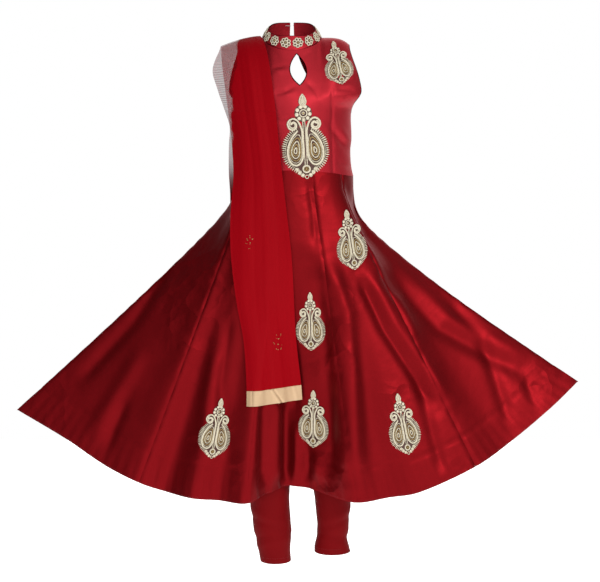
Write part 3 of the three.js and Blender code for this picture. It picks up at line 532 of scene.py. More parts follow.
def seam_dip(points, v, depth, width):
    """Cloth drawn in along its own two long edges, with small puckers"""
    across = cloth_places(points)[..., 0] / MM
    edge = np.abs(across[:, -1:]) - np.abs(across)
    pucker = np.sin(v * 110 + 2 * np.sin(v * 23)) * np.exp(-edge / 14)
    return -depth * (1 + 0.4 * pucker) * np.exp(-(edge / width) ** 2)


def grid_of(surface, us, vs):
    return surface(*np.meshgrid(us, vs))


def mesh_tree(pieces):
    """What lies on the panels is laid on this: all their faces, in metres"""
    verts, faces = [], []
    for piece in pieces:
        start = len(verts)
        verts += [tuple(v.co) for v in piece.data.vertices]
        faces += [tuple(start + i for i in p.vertices) for p in piece.data.polygons]
    return BVHTree.FromPolygons(verts, faces)


FEELER, FAR_OUT = 0.7, 0.5  # mm between the rays that feel for a panel, and metres out where they start


def touch(tree, x, z, facing):
    """How far out of the panels' middle a place lies, in mm, or None where nothing lies under it"""
    best = None
    for near in (0, FEELER, -FEELER):
        start = Vector(((x + near) * MM, facing * FAR_OUT, (z + near) * MM))
        hit = tree.ray_cast(start, Vector((0, -facing, 0)))[0]
        out = hit.y * facing / MM if hit else 0
        if out > 0 and (best is None or out > best):
            best = out
    return best


# Materials


def feed(tree, node, inputs):
    """Gives a node's inputs their values, and links those that are given as sockets"""
    for key, value in inputs.items():
        if isinstance(value, bpy.types.NodeSocket):
            tree.links.new(value, node.inputs[key])
        else:
            node.inputs[key].default_value = value


def add(tree, kind, inputs=None, **settings):
    """A node with its settings, and its inputs given as values or as sockets to link"""
    made = tree.nodes.new(kind)
    for key, value in settings.items():
        setattr(made, key, value)
    feed(tree, made, inputs or {})
    return made


def new_material(name):
    """A material, its node tree and the places of its piece"""
    material = bpy.data.materials.new(name)
    material.use_nodes = True
    tree = material.node_tree
    return material, tree, add(tree, "ShaderNodeTexCoord").outputs["Object"]


def shaded(material, values):
    """The material, with its shader's inputs linked to sockets or set to constants"""
    tree = material.node_tree
    feed(tree, tree.nodes["Principled BSDF"], values)
    return material


def shades(colour, low, high):
    """The colour darker and lighter by these shares, for a Mix node's two colour inputs"""
    dark, light = ([min(1, c * share) for c in colour[:3]] + [1] for share in (low, high))
    return {6: dark, 7: light}


def paler(colour, share, lift):
    """The colour that a cloth's loose fibres give back at its edges"""
    return [min(1, share * c + lift) for c in colour[:3]] + [1]


# How long a float of a weave is, and how wide and thick a slub, in threads
FLOAT_LENGTH, SLUB_LENGTH, SLUB_WIDTH = 28, 40, 1.6


def woven(name, colour, roughness, sheen, thread, slub, gloss, silk, crisp=0.0):
    """Satin or taffeta. Its long floats are streaks along the cloth, with slubs across, and its shine
    keeps the colour of the silk, so a share of it is metallic. Threads of 0.25 mm are drawn 0.9 mm
    apart, the finest that shows. A crisp cloth has faint flat facets in patches, as crumpled silk has."""
    material, tree, body = new_material(name)
    places = add(tree, "ShaderNodeUVMap", uv_map="cloth").outputs[0]
    streaks = []
    for across, down, detail in ((1, FLOAT_LENGTH, 2.0), (SLUB_LENGTH, SLUB_WIDTH, 1.0)):
        scale = (1 / (thread * across * MM), 1 / (thread * down * MM), 1)
        drawn = add(tree, "ShaderNodeMapping", {0: places, 3: scale}).outputs[0]
        streak = add(tree, "ShaderNodeTexNoise", {"Vector": drawn, "Scale": 1.0, "Detail": detail})
        streaks.append(streak.outputs[0])
    patches = add(tree, "ShaderNodeTexNoise", {"Vector": body, "Scale": 13.0, "Detail": 4.0}).outputs[0]
    grain = add(tree, "ShaderNodeMix", {0: slub, 2: streaks[0], 3: streaks[1]}).outputs[0]
    shade = add(tree, "ShaderNodeMix", {0: 0.45, 2: grain, 3: patches}).outputs[0]
    tint = add(tree, "ShaderNodeMix", {0: shade, **shades(colour, 0.78, 1.2)}, data_type="RGBA").outputs[2]
    wear = add(tree, "ShaderNodeMapRange",
               {0: grain, 1: 0.3, 2: 0.7, 3: roughness - 0.05, 4: roughness + 0.07}).outputs[0]
    relief = add(tree, "ShaderNodeBump", {"Strength": 0.35, "Distance": 0.00022, "Height": grain}).outputs[0]
    drape = add(tree, "ShaderNodeBump",
                {"Strength": 0.55, "Distance": 0.003, "Height": patches, "Normal": relief}).outputs[0]
    if crisp:
        push = add(tree, "ShaderNodeTexNoise", {"Vector": body, "Scale": 24.0}).outputs["Color"]
        bent = add(tree, "ShaderNodeVectorMath", {0: push, 1: (0.035, 0.035, 0.035), 2: body},
                   operation="MULTIPLY_ADD").outputs[0]
        facets = add(tree, "ShaderNodeTexVoronoi", {"Vector": bent, "Scale": 21.0}).outputs["Distance"]
        spread = add(tree, "ShaderNodeTexNoise", {"Vector": body, "Scale": 7.0, "Detail": 1.0}).outputs[0]
        strength = add(tree, "ShaderNodeMapRange", {0: spread, 1: 0.5, 2: 0.66, 4: crisp}).outputs[0]
        drape = add(tree, "ShaderNodeBump",
                    {"Strength": strength, "Distance": 0.012, "Height": facets, "Normal": drape}).outputs[0]
    grainwise = add(tree, "ShaderNodeTangent", direction_type="UV_MAP", uv_map="cloth").outputs[0]
    return shaded(material, {
        "Base Color": tint, "Roughness": wear, "Normal": drape, "Tangent": grainwise, "Anisotropic": 0.45,
        "Metallic": silk, "Specular IOR Level": gloss, "Sheen Weight": sheen, "Sheen Roughness": 0.35,
        "Sheen Tint": paler(colour, 2.2, 0.12),
    })


def knitted(name, colour, loop):
    """Cotton and elastane jersey: matt, with fine ribs of stitches, whose loops of 0.5 mm are drawn
    1.4 mm wide so that they show"""
    material, tree, body = new_material(name)
    places = add(tree, "ShaderNodeUVMap", uv_map="cloth").outputs[0]
    wales = add(tree, "ShaderNodeTexWave",
                {"Vector": places, "Scale": 1 / (math.pi * loop * MM), "Distortion": 0.6}).outputs["Fac"]
    fuzz = add(tree, "ShaderNodeTexNoise", {"Vector": places, "Scale": 900.0, "Detail": 3.0}).outputs[0]
    patches = add(tree, "ShaderNodeTexNoise", {"Vector": body, "Scale": 22.0}).outputs[0]
    grain = add(tree, "ShaderNodeMix", {0: 0.5, 2: wales, 3: fuzz}).outputs[0]
    shade = add(tree, "ShaderNodeMix", {0: 0.5, 2: grain, 3: patches}).outputs[0]
    tint = add(tree, "ShaderNodeMix", {0: shade, **shades(colour, 0.78, 1.2)}, data_type="RGBA").outputs[2]
    relief = add(tree, "ShaderNodeBump", {"Strength": 0.4, "Distance": 0.0003, "Height": grain}).outputs[0]
    return shaded(material, {
        "Base Color": tint, "Normal": relief, "Roughness": 0.72, "Specular IOR Level": 0.06,
        "Sheen Weight": 0.01, "Sheen Roughness": 0.4, "Sheen Tint": paler(colour, 2.4, 0.08),
    })


def netting(name, colour, cell):
    """Nylon net: crossing threads with gaps between them. Where it is folded several times it looks
    almost closed, and where it is single the light comes through. Cells of 1 mm are drawn 2.2 mm wide."""
    material, tree, body = new_material(name)
    places = add(tree, "ShaderNodeUVMap", uv_map="cloth").outputs[0]
    threads = []
    for turn in (1, -1):
        slanted = add(tree, "ShaderNodeMapping", {0: places, 2: (0, 0, turn * math.radians(38))}).outputs[0]
        wave = add(tree, "ShaderNodeTexWave",
                   {"Vector": slanted, "Scale": 0.3 / (cell * MM), "Distortion": 0.3})
        threads.append(wave.outputs["Fac"])
    crossed = add(tree, "ShaderNodeMath", dict(enumerate(threads)), operation="MAXIMUM").outputs[0]
    layers = add(tree, "ShaderNodeAttribute", attribute_name="layers").outputs["Fac"]
    thread = add(tree, "ShaderNodeMapRange", {0: crossed, 1: 0.5, 2: 0.95, 3: 0.14, 4: 0.55}).outputs[0]
    alpha = add(tree, "ShaderNodeMath", {0: thread, 1: layers}, operation="MAXIMUM").outputs[0]
    drawn = add(tree, "ShaderNodeMapping", {0: places, 3: (220.0, 6.0, 1)}).outputs[0]
    streaks = add(tree, "ShaderNodeTexNoise", {"Vector": drawn, "Scale": 1.0, "Detail": 3.0}).outputs[0]
    patches = add(tree, "ShaderNodeTexNoise", {"Vector": body, "Scale": 16.0}).outputs[0]
    shade = add(tree, "ShaderNodeMix", {0: 0.3, 2: streaks, 3: patches}).outputs[0]
    tint = add(tree, "ShaderNodeMix", {0: shade, **shades(colour, 0.92, 1.07)}, data_type="RGBA").outputs[2]
    relief = add(tree, "ShaderNodeBump", {"Strength": 0.3, "Distance": 0.0004, "Height": crossed}).outputs[0]
    soft = add(tree, "ShaderNodeBump",
               {"Strength": 0.1, "Distance": 0.0006, "Height": streaks, "Normal": relief}).outputs[0]
    return shaded(material, {
        "Base Color": tint, "Alpha": alpha, "Normal": soft, "Roughness": 0.62, "Specular IOR Level": 0.04,
        "Sheen Weight": 0.01, "Sheen Roughness": 0.3, "Sheen Tint": paler(colour, 2.0, 0.06),
    })


def spun(name, colour, metallic, roughness, grain):
    """Thread wound or stitched thick: its strands catch the light one by one, so each stitch is a
    little lighter or darker than the next"""
    material, tree, body = new_material(name)
    spots = add(tree, "ShaderNodeTexNoise",
                {"Vector": body, "Scale": 1 / (grain * MM), "Roughness": 0.6}).outputs[0]
    tint = add(tree, "ShaderNodeMix", {0: spots, **shades(colour, 0.55, 1.25)}, data_type="RGBA").outputs[2]
    relief = add(tree, "ShaderNodeBump", {"Strength": 0.5, "Distance": 0.0003, "Height": spots}).outputs[0]
    wear = add(tree, "ShaderNodeMapRange",
               {0: spots, 1: 0.3, 2: 0.7, 3: roughness - 0.1, 4: roughness + 0.12}).outputs[0]
    return shaded(material, {"Base Color": tint, "Normal": relief, "Roughness": wear, "Metallic": metallic})


def drawn_wire(name, colour):
    """Nickel-plated steel wire: bright, with fine marks from drawing and a few dull spots"""
    material, tree, body = new_material(name)
    marks = add(tree, "ShaderNodeTexNoise", {"Vector": body, "Scale": 2200.0}).outputs[0]
    tint = add(tree, "ShaderNodeMix", {0: marks, **shades(colour, 0.85, 1.1)}, data_type="RGBA").outputs[2]
    wear = add(tree, "ShaderNodeMapRange", {0: marks, 1: 0.3, 2: 0.7, 3: 0.22, 4: 0.4}).outputs[0]
    return shaded(material, {"Base Color": tint, "Roughness": wear, "Metallic": 1.0})


def painted_floor(name, colour):
    """Matt painted board, lit from beneath as a studio's light table is, so that it stays nearly white,
    with the faintest roller texture"""
    material, tree, body = new_material(name)
    roller = add(tree, "ShaderNodeTexNoise", {"Vector": body, "Scale": 140.0}).outputs[0]
    tint = add(tree, "ShaderNodeMix", {0: roller, **shades(colour, 0.985, 1.0)}, data_type="RGBA").outputs[2]
    relief = add(tree, "ShaderNodeBump", {"Strength": 0.05, "Distance": 0.001, "Height": roller}).outputs[0]
    return shaded(material, {
        "Base Color": tint, "Normal": relief, "Roughness": 0.85, "Emission Color": (1, 1, 1, 1),
        "Emission Strength": 0.95,
    })


def make_finish(key):
    cloth, trim = bpy.context.scene.suit_cloth, bpy.context.scene.suit_trim
    thread = cloth.thread
    makers = {
        "bodice": lambda: woven("duchess_satin", cloth.bodice, 0.48, 0.03, thread, 0.3, 0.1, 0.6),
        "skirt": lambda: woven("taffeta", cloth.skirt, 0.42, 0.02, thread, 0.45, 0.0, 0.76, crisp=0.4),
        "churidar": lambda: knitted("cotton_jersey", cloth.churidar, 1.4),
        "net": lambda: netting("nylon_net", cloth.dupatta, 2.2),
        "border": lambda: woven("gold_satin_ribbon", cloth.border, 0.34, 0.1, thread * 0.8, 0.5, 0.4, 0.3),
        "cream": lambda: spun("rayon_embroidery_thread", trim.cream, 0.0, 0.42, 1.4),
        # The dark brown pad under the embroidery is painted shade for the gaps between its stitches
        "shade_pad": lambda: spun("antique_gold_backing", trim.shade_pad, 0.1, 0.6, 1.2),
        "gold": lambda: spun("zari_gold_thread", trim.gold, 0.35, 0.38, 1.1),
        "red_thread": lambda: spun("polyester_sewing_thread", cloth.skirt, 0.0, 0.5, 1.0),
        "wire": lambda: drawn_wire("nickel_plated_wire", linear(0xD8D8D4)),
    }
    return makers[key]()


MATERIALS = {}


def finish_of(key):
    """The finish of that name, made once"""
    if key not in MATERIALS:
        MATERIALS[key] = make_finish(key)
    return MATERIALS[key]


# Geometry Nodes: stitches and cords along a path, and specks on a surface


def new_group(name, sockets):
    tree = bpy.data.node_groups.new(name, "GeometryNodeTree")
    tree.interface.new_socket("Geometry", in_out="INPUT", socket_type="NodeSocketGeometry")
    for label, kind, value in sockets:
        made = tree.interface.new_socket(label, in_out="INPUT", socket_type="NodeSocket" + kind)
        if value is not None:
            made.default_value = value
    tree.interface.new_socket("Geometry", in_out="OUTPUT", socket_type="NodeSocketGeometry")
    return tree, tree.nodes.new("NodeGroupInput").outputs, tree.nodes.new("NodeGroupOutput")


def close_group(tree, instances, given, out):
    real = add(tree, "GeometryNodeRealizeInstances", {"Geometry": instances}).outputs[0]
    smoothed = add(tree, "GeometryNodeSetShadeSmooth", {0: real}).outputs[0]
    done = add(tree, "GeometryNodeSetMaterial",
               {"Geometry": smoothed, "Material": given["Material"]}).outputs[0]
    feed(tree, out, {"Geometry": done})
    return tree


def stitch_group():
    """Stitches along edges: each lies on the path, turned by the slant, as thick as the path says"""
    tree, given, out = new_group("Stitches along a path", [
        ("Spacing", "Float", 0.002), ("Length", "Float", 1.6), ("Slant", "Float", 0.0),
        ("Evenness", "Float", 0.9), ("Material", "Material", None),
    ])
    curve = add(tree, "GeometryNodeMeshToCurve", {"Mesh": given["Geometry"]}).outputs[0]
    spots = add(tree, "GeometryNodeCurveToPoints", {"Curve": curve, "Length": given["Spacing"]},
                mode="LENGTH").outputs
    heading = add(tree, "FunctionNodeAlignRotationToVector", {"Vector": spots["Tangent"]},
                  axis="X", pivot_axis="Z").outputs[0]
    slant = add(tree, "FunctionNodeAxisAngleToRotation",
                {"Axis": (0, 0, 1), "Angle": given["Slant"]}).outputs[0]
    turned = add(tree, "FunctionNodeRotateRotation", {0: heading, 1: slant}, rotation_space="LOCAL").outputs[0]
    thick = add(tree, "GeometryNodeInputNamedAttribute", {"Name": "thickness"}, data_type="FLOAT").outputs[0]
    uneven = add(tree, "FunctionNodeRandomValue", {2: given["Evenness"], 3: 1.1, "Seed": 3},
                 data_type="FLOAT").outputs[1]
    size = add(tree, "ShaderNodeMath", {0: thick, 1: uneven}, operation="MULTIPLY").outputs[0]
    longer = add(tree, "ShaderNodeMath", {0: size, 1: given["Length"]}, operation="MULTIPLY").outputs[0]
    scale = add(tree, "ShaderNodeCombineXYZ", {0: longer, 1: size, 2: size}).outputs[0]
    grain = add(tree, "GeometryNodeMeshUVSphere", {"Segments": 6, "Rings": 4, "Radius": 1.0}).outputs[0]
    lying = add(tree, "GeometryNodeTransform", {"Geometry": grain, "Rotation": (0, math.pi / 2, 0)}).outputs[0]
    placed = add(tree, "GeometryNodeInstanceOnPoints",
                 {"Points": spots["Points"], "Instance": lying, "Rotation": turned, "Scale": scale}).outputs[0]
    return close_group(tree, placed, given, out)


def cord_group():
    """A round cord or rolled edge along edges, as thick as the path says"""
    tree, given, out = new_group("Cord along a path", [
        ("Spacing", "Float", 0.002), ("Sides", "Int", 8), ("Material", "Material", None),
    ])
    curve = add(tree, "GeometryNodeMeshToCurve", {"Mesh": given["Geometry"]}).outputs[0]
    even = add(tree, "GeometryNodeResampleCurve", {"Curve": curve, "Length": given["Spacing"]},
               mode="LENGTH").outputs[0]
    thick = add(tree, "GeometryNodeInputNamedAttribute", {"Name": "thickness"}, data_type="FLOAT").outputs[0]
    sized = add(tree, "GeometryNodeSetCurveRadius", {"Curve": even, "Radius": thick}).outputs[0]
    circle = add(tree, "GeometryNodeCurvePrimitiveCircle",
                 {"Resolution": given["Sides"], "Radius": 1.0}).outputs[0]
    tube = add(tree, "GeometryNodeCurveToMesh", {"Curve": sized, "Profile Curve": circle, "Fill Caps": True})
    if "Scale" in tube.inputs:
        feed(tree, tube, {"Scale": thick})
    return close_group(tree, tube.outputs[0], given, out)


def speck_group():
    """Specks of metal thread strewn on a cloth where its sprig attribute says"""
    tree, given, out = new_group("Specks on a cloth", [
        ("Density", "Float", 20000.0), ("Size", "Float", 0.0008), ("Seed", "Int", 7),
        ("Material", "Material", None),
    ])
    sprig = add(tree, "GeometryNodeInputNamedAttribute", {"Name": "sprig"}, data_type="FLOAT").outputs[0]
    density = add(tree, "ShaderNodeMath", {0: sprig, 1: given["Density"]}, operation="MULTIPLY").outputs[0]
    spots = add(tree, "GeometryNodeDistributePointsOnFaces",
                {"Mesh": given["Geometry"], "Density": density, "Seed": given["Seed"]}).outputs
    bead = add(tree, "GeometryNodeMeshIcoSphere", {"Radius": given["Size"], "Subdivisions": 2}).outputs[0]
    scale = add(tree, "FunctionNodeRandomValue", {2: 0.6, 3: 1.3, "Seed": given["Seed"]},
                data_type="FLOAT").outputs[1]
    placed = add(tree, "GeometryNodeInstanceOnPoints",
                 {"Points": spots["Points"], "Instance": bead, "Rotation": spots["Rotation"], "Scale": scale})
    return close_group(tree, placed.outputs[0], given, out)


GROUPS = {}


def grow(name, host, kind, **values):
    """The mesh that a node group makes of a host mesh"""
    makers = {"stitch": stitch_group, "cord": cord_group, "speck": speck_group}
    if kind not in GROUPS:
        GROUPS[kind] = makers[kind]()
    tree = GROUPS[kind]
    piece = put(name + "_path", host)
    modifier = piece.modifiers.new("Growth", "NODES")
    modifier.node_group = tree
    for item in tree.interface.items_tree:
        key = item.name.lower()
        if item.item_type == "SOCKET" and item.in_out == "INPUT" and key in values:
            modifier[item.identifier] = values[key]
    piece.update_tag()
    graph = bpy.context.evaluated_depsgraph_get()
    made = bpy.data.meshes.new_from_object(piece.evaluated_get(graph), depsgraph=graph)
    bpy.data.objects.remove(piece)
    if not made.polygons:
        raise RuntimeError(name + " came out empty")
    made.name = name
    return made


Path = namedtuple("Path", "points thickness closed", defaults=(False,))


def path_mesh(name, paths):
    """Edges along paths, in their own unit, with how thick each is"""
    verts, edges, thick = [], [], []
    for path in paths:
        start, count = len(verts), len(path.points)
        verts += [tuple(p) for p in np.asarray(path.points, float).tolist()]
        thick += [path.thickness] * count
        edges += [(start + i, start + i + 1) for i in range(count - 1)]
        if path.closed:
            edges.append((start + count - 1, start))
    mesh = bpy.data.meshes.new(name)
    mesh.from_pydata(verts, edges, [])
    mesh.attributes.new("thickness", "FLOAT", "POINT").data.foreach_set("value", thick)
    return mesh


def joined(name, parts):
    """One mesh of several, each in the last of its own materials"""
    whole = bmesh.new()
    materials = []
    for part in parts:
        own = [material for material in part.materials if material]
        materials += [material for material in own if material not in materials]
        index = materials.index(own[-1])
        part.polygons.foreach_set("material_index", [index] * len(part.polygons))
        whole.from_mesh(part)
    mesh = bpy.data.meshes.new(name)
    whole.to_mesh(mesh)
    whole.free()
    for material in materials:
        mesh.materials.append(material)
    return mesh


# Embroidery, drawn flat in mm with its foot at y = 0 and then laid on the panels

MOTIF = {"width": 94, "height": 168}
LOBE = [(4.6, 84), (4, 62), (5.5, 44), (12, 32), (20, 28.5), (29, 33), (34.5, 45), (35, 59), (31, 73),
        (23.5, 86), (14, 96)]
CURL = [(4.6, 84), (4.6, 96), (7, 106), (12, 116), (20, 121.5), (28, 118.5), (32, 110.5), (28.5, 101.5),
        (21, 99.5), (15.5, 104), (16, 111), (21, 114), (25.5, 110.5)]
BODY = [(16, 101), (26, 95), (35.5, 84), (42, 69), (43.6, 52), (39.5, 37), (30.5, 25), (20, 17), (12, 12)]
LEAF = [(0, 143), (6.2, 151), (5, 160), (0, 168)]
LOBE_MIDDLE, COIL_MIDDLE = np.array([19.5, 57]), np.array([21.5, 109.5])
ROSETTE, FOOT_ROSETTE = (0, 131), (0, 20.5)
ROSETTE_PETALS, COLLAR_PETALS = 9, 7


def curve_through(points, count=60):
    """A smooth line through a few points"""
    points = np.array(points, float)
    rows = {"at": np.arange(len(points), dtype=float), "x": points[:, 0], "y": points[:, 1]}
    at = np.linspace(0, len(points) - 1, count)
    return np.stack([along(rows, "at", at, "x"), along(rows, "at", at, "y")], -1)


def ring(x, y, radius, count=24):
    angle = np.linspace(0, 2 * np.pi, count, endpoint=False)
    return np.stack([x + radius * np.cos(angle), y + radius * np.sin(angle)], -1)


def raised(line, height):
    return np.concatenate([line, np.full((len(line), 1), float(height))], -1)


def pillow(line, height, base):
    """A padded shape inside a closed line, highest in its middle"""
    middle = line.mean(axis=0)
    shares = (1, 0.85, 0.6, 0.3)
    rings = [raised(middle + (line - middle) * s, base + height * math.sqrt(1 - s * s)) for s in shares]
    count = len(line)
    verts = np.concatenate(rings + [[[*middle, base + height]]])
    at = np.arange(4 * count).reshape(4, count)
    nxt = np.roll(at, -1, axis=1)
    quads = np.stack([at[:-1], nxt[:-1], nxt[1:], at[1:]], -1).reshape(-1, 4).tolist()
    fan = [(a, b, 4 * count) for a, b in zip(at[-1].tolist(), nxt[-1].tolist())]
    mesh = bpy.data.meshes.new("pad")
    mesh.from_pydata(verts.tolist(), [], quads + fan)
    mesh.polygons.foreach_set("use_smooth", [True] * len(mesh.polygons))
    return mesh


def row(line, height, size, closed=False):
    """A row of stitches along a flat line, at that height and so thick"""
    return Path(raised(line, height), size, closed)


def stitched(name, paths, spacing, length, slant, evenness, finish):
    """The stitches along those rows"""
    return grow(name, path_mesh(name, paths), "stitch", spacing=spacing, length=length, slant=slant,
                evenness=evenness, material=finish_of(finish))


def padded(pads, finish):
    for pad in pads:
        pad.materials.append(finish_of(finish))
    return pads


def motif_mesh():
    """Two paisleys side by side whose tails curl out at the top, with a fringe round them, a rosette at
    the foot and a larger one above, and a leaf for a tip, all of it over dark pads of painted shade for the
    gaps between the stitches"""
    lobe, curl, body = curve_through(LOBE, 90), curve_through(CURL, 90), curve_through(BODY, 80)
    closed = np.concatenate([lobe, [[8, 95]]])
    # The backs are dark pads of painted shade, laid under the stitches so that the gaps between them look
    # shaded
    bold, fine, metal, fringe, backs, fills = [], [], [], [], [], []
    inner_rows = ((0.83, 1.0, fine), (0.67, 1.25, metal), (0.5, 1.25, fine), (0.34, 1.3, metal),
                  (0.17, 1.3, fine))
    for side in (1, -1):
        flip = np.array([side, 1])
        bold += [row(lobe * flip, 1.9, 1.9), row(curl * flip, 1.9, 1.9)]
        fine.append(row((COIL_MIDDLE + (curl[38:] - COIL_MIDDLE) * 0.66) * flip, 1.9, 1.5))
        backs.append(pillow(ring(*(COIL_MIDDLE * flip), 12.5), 0.5, 0.3))
        fringe.append(row(body * flip, 1.4, 1.3))
        inside = np.stack([body[:, 0] * 0.9, 53 + (body[:, 1] - 53) * 0.89], -1)
        fine.append(row(inside * flip, 1.2, 0.85))
        for share, size, thread in inner_rows:
            thread.append(row((LOBE_MIDDLE + (closed - LOBE_MIDDLE) * share) * flip, 1.5, size, True))
        backs.append(pillow(np.concatenate([body * 1.02, [[0, 9], [0, 104]]]) * flip, 0.35, 0.15))
        fine.append(row(np.array([[2.1, 28], [2.2, 70], [2.0, 120]]) * flip, 1.7, 1.1))
        for x, y in ((7.6, 8.4), (13.6, 13.6), (18.2, 20)):
            fills.append(pillow(ring(x * side, y, 3.6, 12), 0.8, 0.5))
            fine.append(row(ring(x * side, y, 3.3, 12), 1.3, 0.9, True))
    for k in range(ROSETTE_PETALS):
        angle = 2 * math.pi * (k + 0.5) / ROSETTE_PETALS
        x, y = ROSETTE[0] + 13 * math.sin(angle), ROSETTE[1] + 13 * math.cos(angle)
        fills.append(pillow(ring(x, y, 3.9, 12), 1.3, 0.5))
    leaf = curve_through(LEAF, 20)
    outline = np.concatenate([leaf, (leaf * (-1, 1))[::-1][1:-1]])
    bold += [row(ring(*ROSETTE, 7.0), 2.2, 1.3, True), row(ring(*FOOT_ROSETTE, 6.8), 2.0, 1.7, True),
             row(outline, 1.6, 1.4, True)]
    fine += [row(ring(0, 5, 3.4, 12), 1.3, 1.0, True), row(np.array([[0, 147], [0, 164]]), 2.0, 1.3),
             row(outline * (0.55, 0.6) + (0, 62.4), 1.7, 0.9, True)]
    metal.append(row(ring(*FOOT_ROSETTE, 3.8, 12), 2.0, 1.0, True))
    beads = [row(ring(*middle, 0.9, 6), 2.4, 1.2, True) for middle in (FOOT_ROSETTE, ROSETTE)]
    fills += [pillow(ring(*ROSETTE, 3.4, 12), 1.6, 0.6), pillow(outline, 1.2, 0.3)]
    backs += [pillow(ring(*ROSETTE, 17.5), 0.6, 0.2), pillow(ring(*FOOT_ROSETTE, 10), 0.7, 0.3),
              pillow(np.array([(3.2, 30), (3.2, 118), (-3.2, 118), (-3.2, 30)], float), 0.4, 0.3)]
    return joined("motif", padded(backs, "shade_pad") + padded(fills, "cream") + [
        stitched("cords", bold, 1.9, 1.25, 0.75, 0.92, "cream"),
        stitched("lines", fine, 2.1, 1.35, 0.5, 0.85, "cream"),
        stitched("rows", metal, 2.2, 1.3, 0.9, 0.75, "gold"),
        stitched("fringe", fringe, 4.3, 3.3, math.pi / 2, 0.75, "cream"),
        stitched("beads", beads, 1.2, 1.0, 0.0, 0.95, "gold"),
    ])


def flower_mesh(radius):
    """A rosette: petals of looped cord round a raised eye of gold rings, on a dark pad of painted shade"""
    petals = []
    for k in range(COLLAR_PETALS):
        angle = 2 * math.pi * k / COLLAR_PETALS
        reach = radius * 0.64
        loop = ring(reach * math.sin(angle), reach * math.cos(angle), radius * 0.27, 14)
        petals.append(row(loop, 1.0, 0.95, True))
    petals.append(row(ring(0, 0, radius * 0.36, 20), 1.5, 0.8, True))
    eye = [row(ring(0, 0, radius * 0.1, 8), 1.8, 0.8, True)]
    # The dark pad under the rosette is painted shade for the gaps between its stitches
    return joined("flower", padded([pillow(ring(0, 0, radius * 0.92, 24), 0.9, 0.1)], "shade_pad") + [
        stitched("petals", petals, 1.1, 1.4, 0.6, 0.9, "cream"),
        stitched("eye", eye, 1.3, 1.3, 0.0, 0.8, "gold"),
    ])


def vertices_of(mesh):
    flat = np.empty(3 * len(mesh.vertices))
    mesh.vertices.foreach_get("co", flat)
    return flat.reshape(-1, 3)


def laid(name, mesh, places):
    """A copy of the mesh with its vertices at new places, in mm"""
    copy = mesh.copy()
    copy.name = name
    copy.vertices.foreach_set("co", (places * MM).ravel())
    copy.update()
    return put(name, copy)


def lay_patch(patch, mesh, tree):
    """The flat motif sized, tilted and laid on the front panels"""
    local = vertices_of(mesh)
    wide, tall = patch.width / MOTIF["width"], patch.height / MOTIF["height"]
    across, up = local[:, 0] * wide, (local[:, 1] - MOTIF["height"] / 2) * tall
    turn = math.radians(patch.tilt)
    x = patch.x + across * math.cos(turn) - up * math.sin(turn)
    z = patch.z + across * math.sin(turn) + up * math.cos(turn)
    step = 3.0  # between the rays that feel for the panels, in mm
    xs = np.arange(x.min() - step, x.max() + 2 * step, step)
    zs = np.arange(z.min() - step, z.max() + 2 * step, step)
    found = np.array([[touch(tree, a, b, FRONT) or 0 for a in xs] for b in zs])
    soft = np.pad(found, 1, mode="edge")
    soft = sum(soft[j:j + len(zs), i:i + len(xs)] for j in range(3) for i in range(3)) / 9
    out = np.maximum(found, soft)
    slope_z, slope_x = np.gradient(out, step)
    i, j = (x - xs[0]) / step, (z - zs[0]) / step
    i0, j0 = np.floor(i).astype(int), np.floor(j).astype(int)
    fi, fj = i - i0, j - j0

    def read(values):
        top = mix(values[j0, i0], values[j0, i0 + 1], fi)
        return mix(top, mix(values[j0 + 1, i0], values[j0 + 1, i0 + 1], fi), fj)

    rise = local[:, 2] * mix(0.55, 1, wide) + 0.1
    normal = unit(stack(-read(slope_x), -1, -read(slope_z)))
    return laid(patch.name + "_stitched", mesh, stack(x, -read(out), z) + normal * rise[:, None])


# Openings and their edges


def steps(low, high, count):
    return np.linspace(low, high, count + 1)


def row_steps(*spans):
    """Steps over spans that follow each other, each with its own count"""
    return np.concatenate([steps(*spans[0])] + [steps(*span)[1:] for span in spans[1:]])


def leaf_outline():
    """The keyhole: two bowed sides that meet in a point above and below"""
    (top_x, top_z), (foot_x, foot_z) = KEYHOLE["top"], KEYHOLE["bottom"]
    middle = (top_x + foot_x) / 2
    t = np.linspace(0, 1, 28)[:, None]
    ends = [np.array([top_x, top_z]), np.array([foot_x, foot_z])]
    sides = []
    for sign, (a, b) in ((-1, ends), (1, ends[::-1])):
        pull = np.array([middle + sign * 2 * KEYHOLE["half"], KEYHOLE["widest"]])
        sides.append((a * (1 - t) ** 2 + 2 * pull * t * (1 - t) + b * t * t)[:-1])
    return np.concatenate(sides)


def drop_outline():
    """The back opening: a drop, narrow at the collar and round at its foot"""
    (top_x, top_z), (foot_x, foot_z) = DROP["top"], DROP["bottom"]
    half, widest, reach, corner = DROP["half"], DROP["widest"], DROP["half"] * 4 / 3, foot_z + DROP["corner"]
    neck = DROP["neck"]
    curves = [
        [(top_x - neck, top_z), (top_x - neck, widest / 2), (foot_x - reach, widest), (foot_x - half, widest)],
        [(foot_x - half, widest), (foot_x - half, corner), (foot_x - half / 2, foot_z), (foot_x, foot_z)],
        [(foot_x, foot_z), (foot_x + half / 2, foot_z), (foot_x + half, corner), (foot_x + half, widest)],
        [(foot_x + half, widest), (foot_x + reach, widest), (top_x + neck, widest / 2), (top_x + neck, top_z)],
    ]
    t = np.linspace(0, 1, 20)[:, None]
    sides = []
    for a, b, c, d in curves:
        a, b, c, d = (np.array(p, float) for p in (a, b, c, d))
        sides.append((a * (1 - t) ** 3 + 3 * b * t * (1 - t) ** 2 + 3 * c * t * t * (1 - t) + d * t ** 3)[:-1])
    sides.append(np.array([[top_x + neck, top_z]]))
    return np.concatenate(sides)


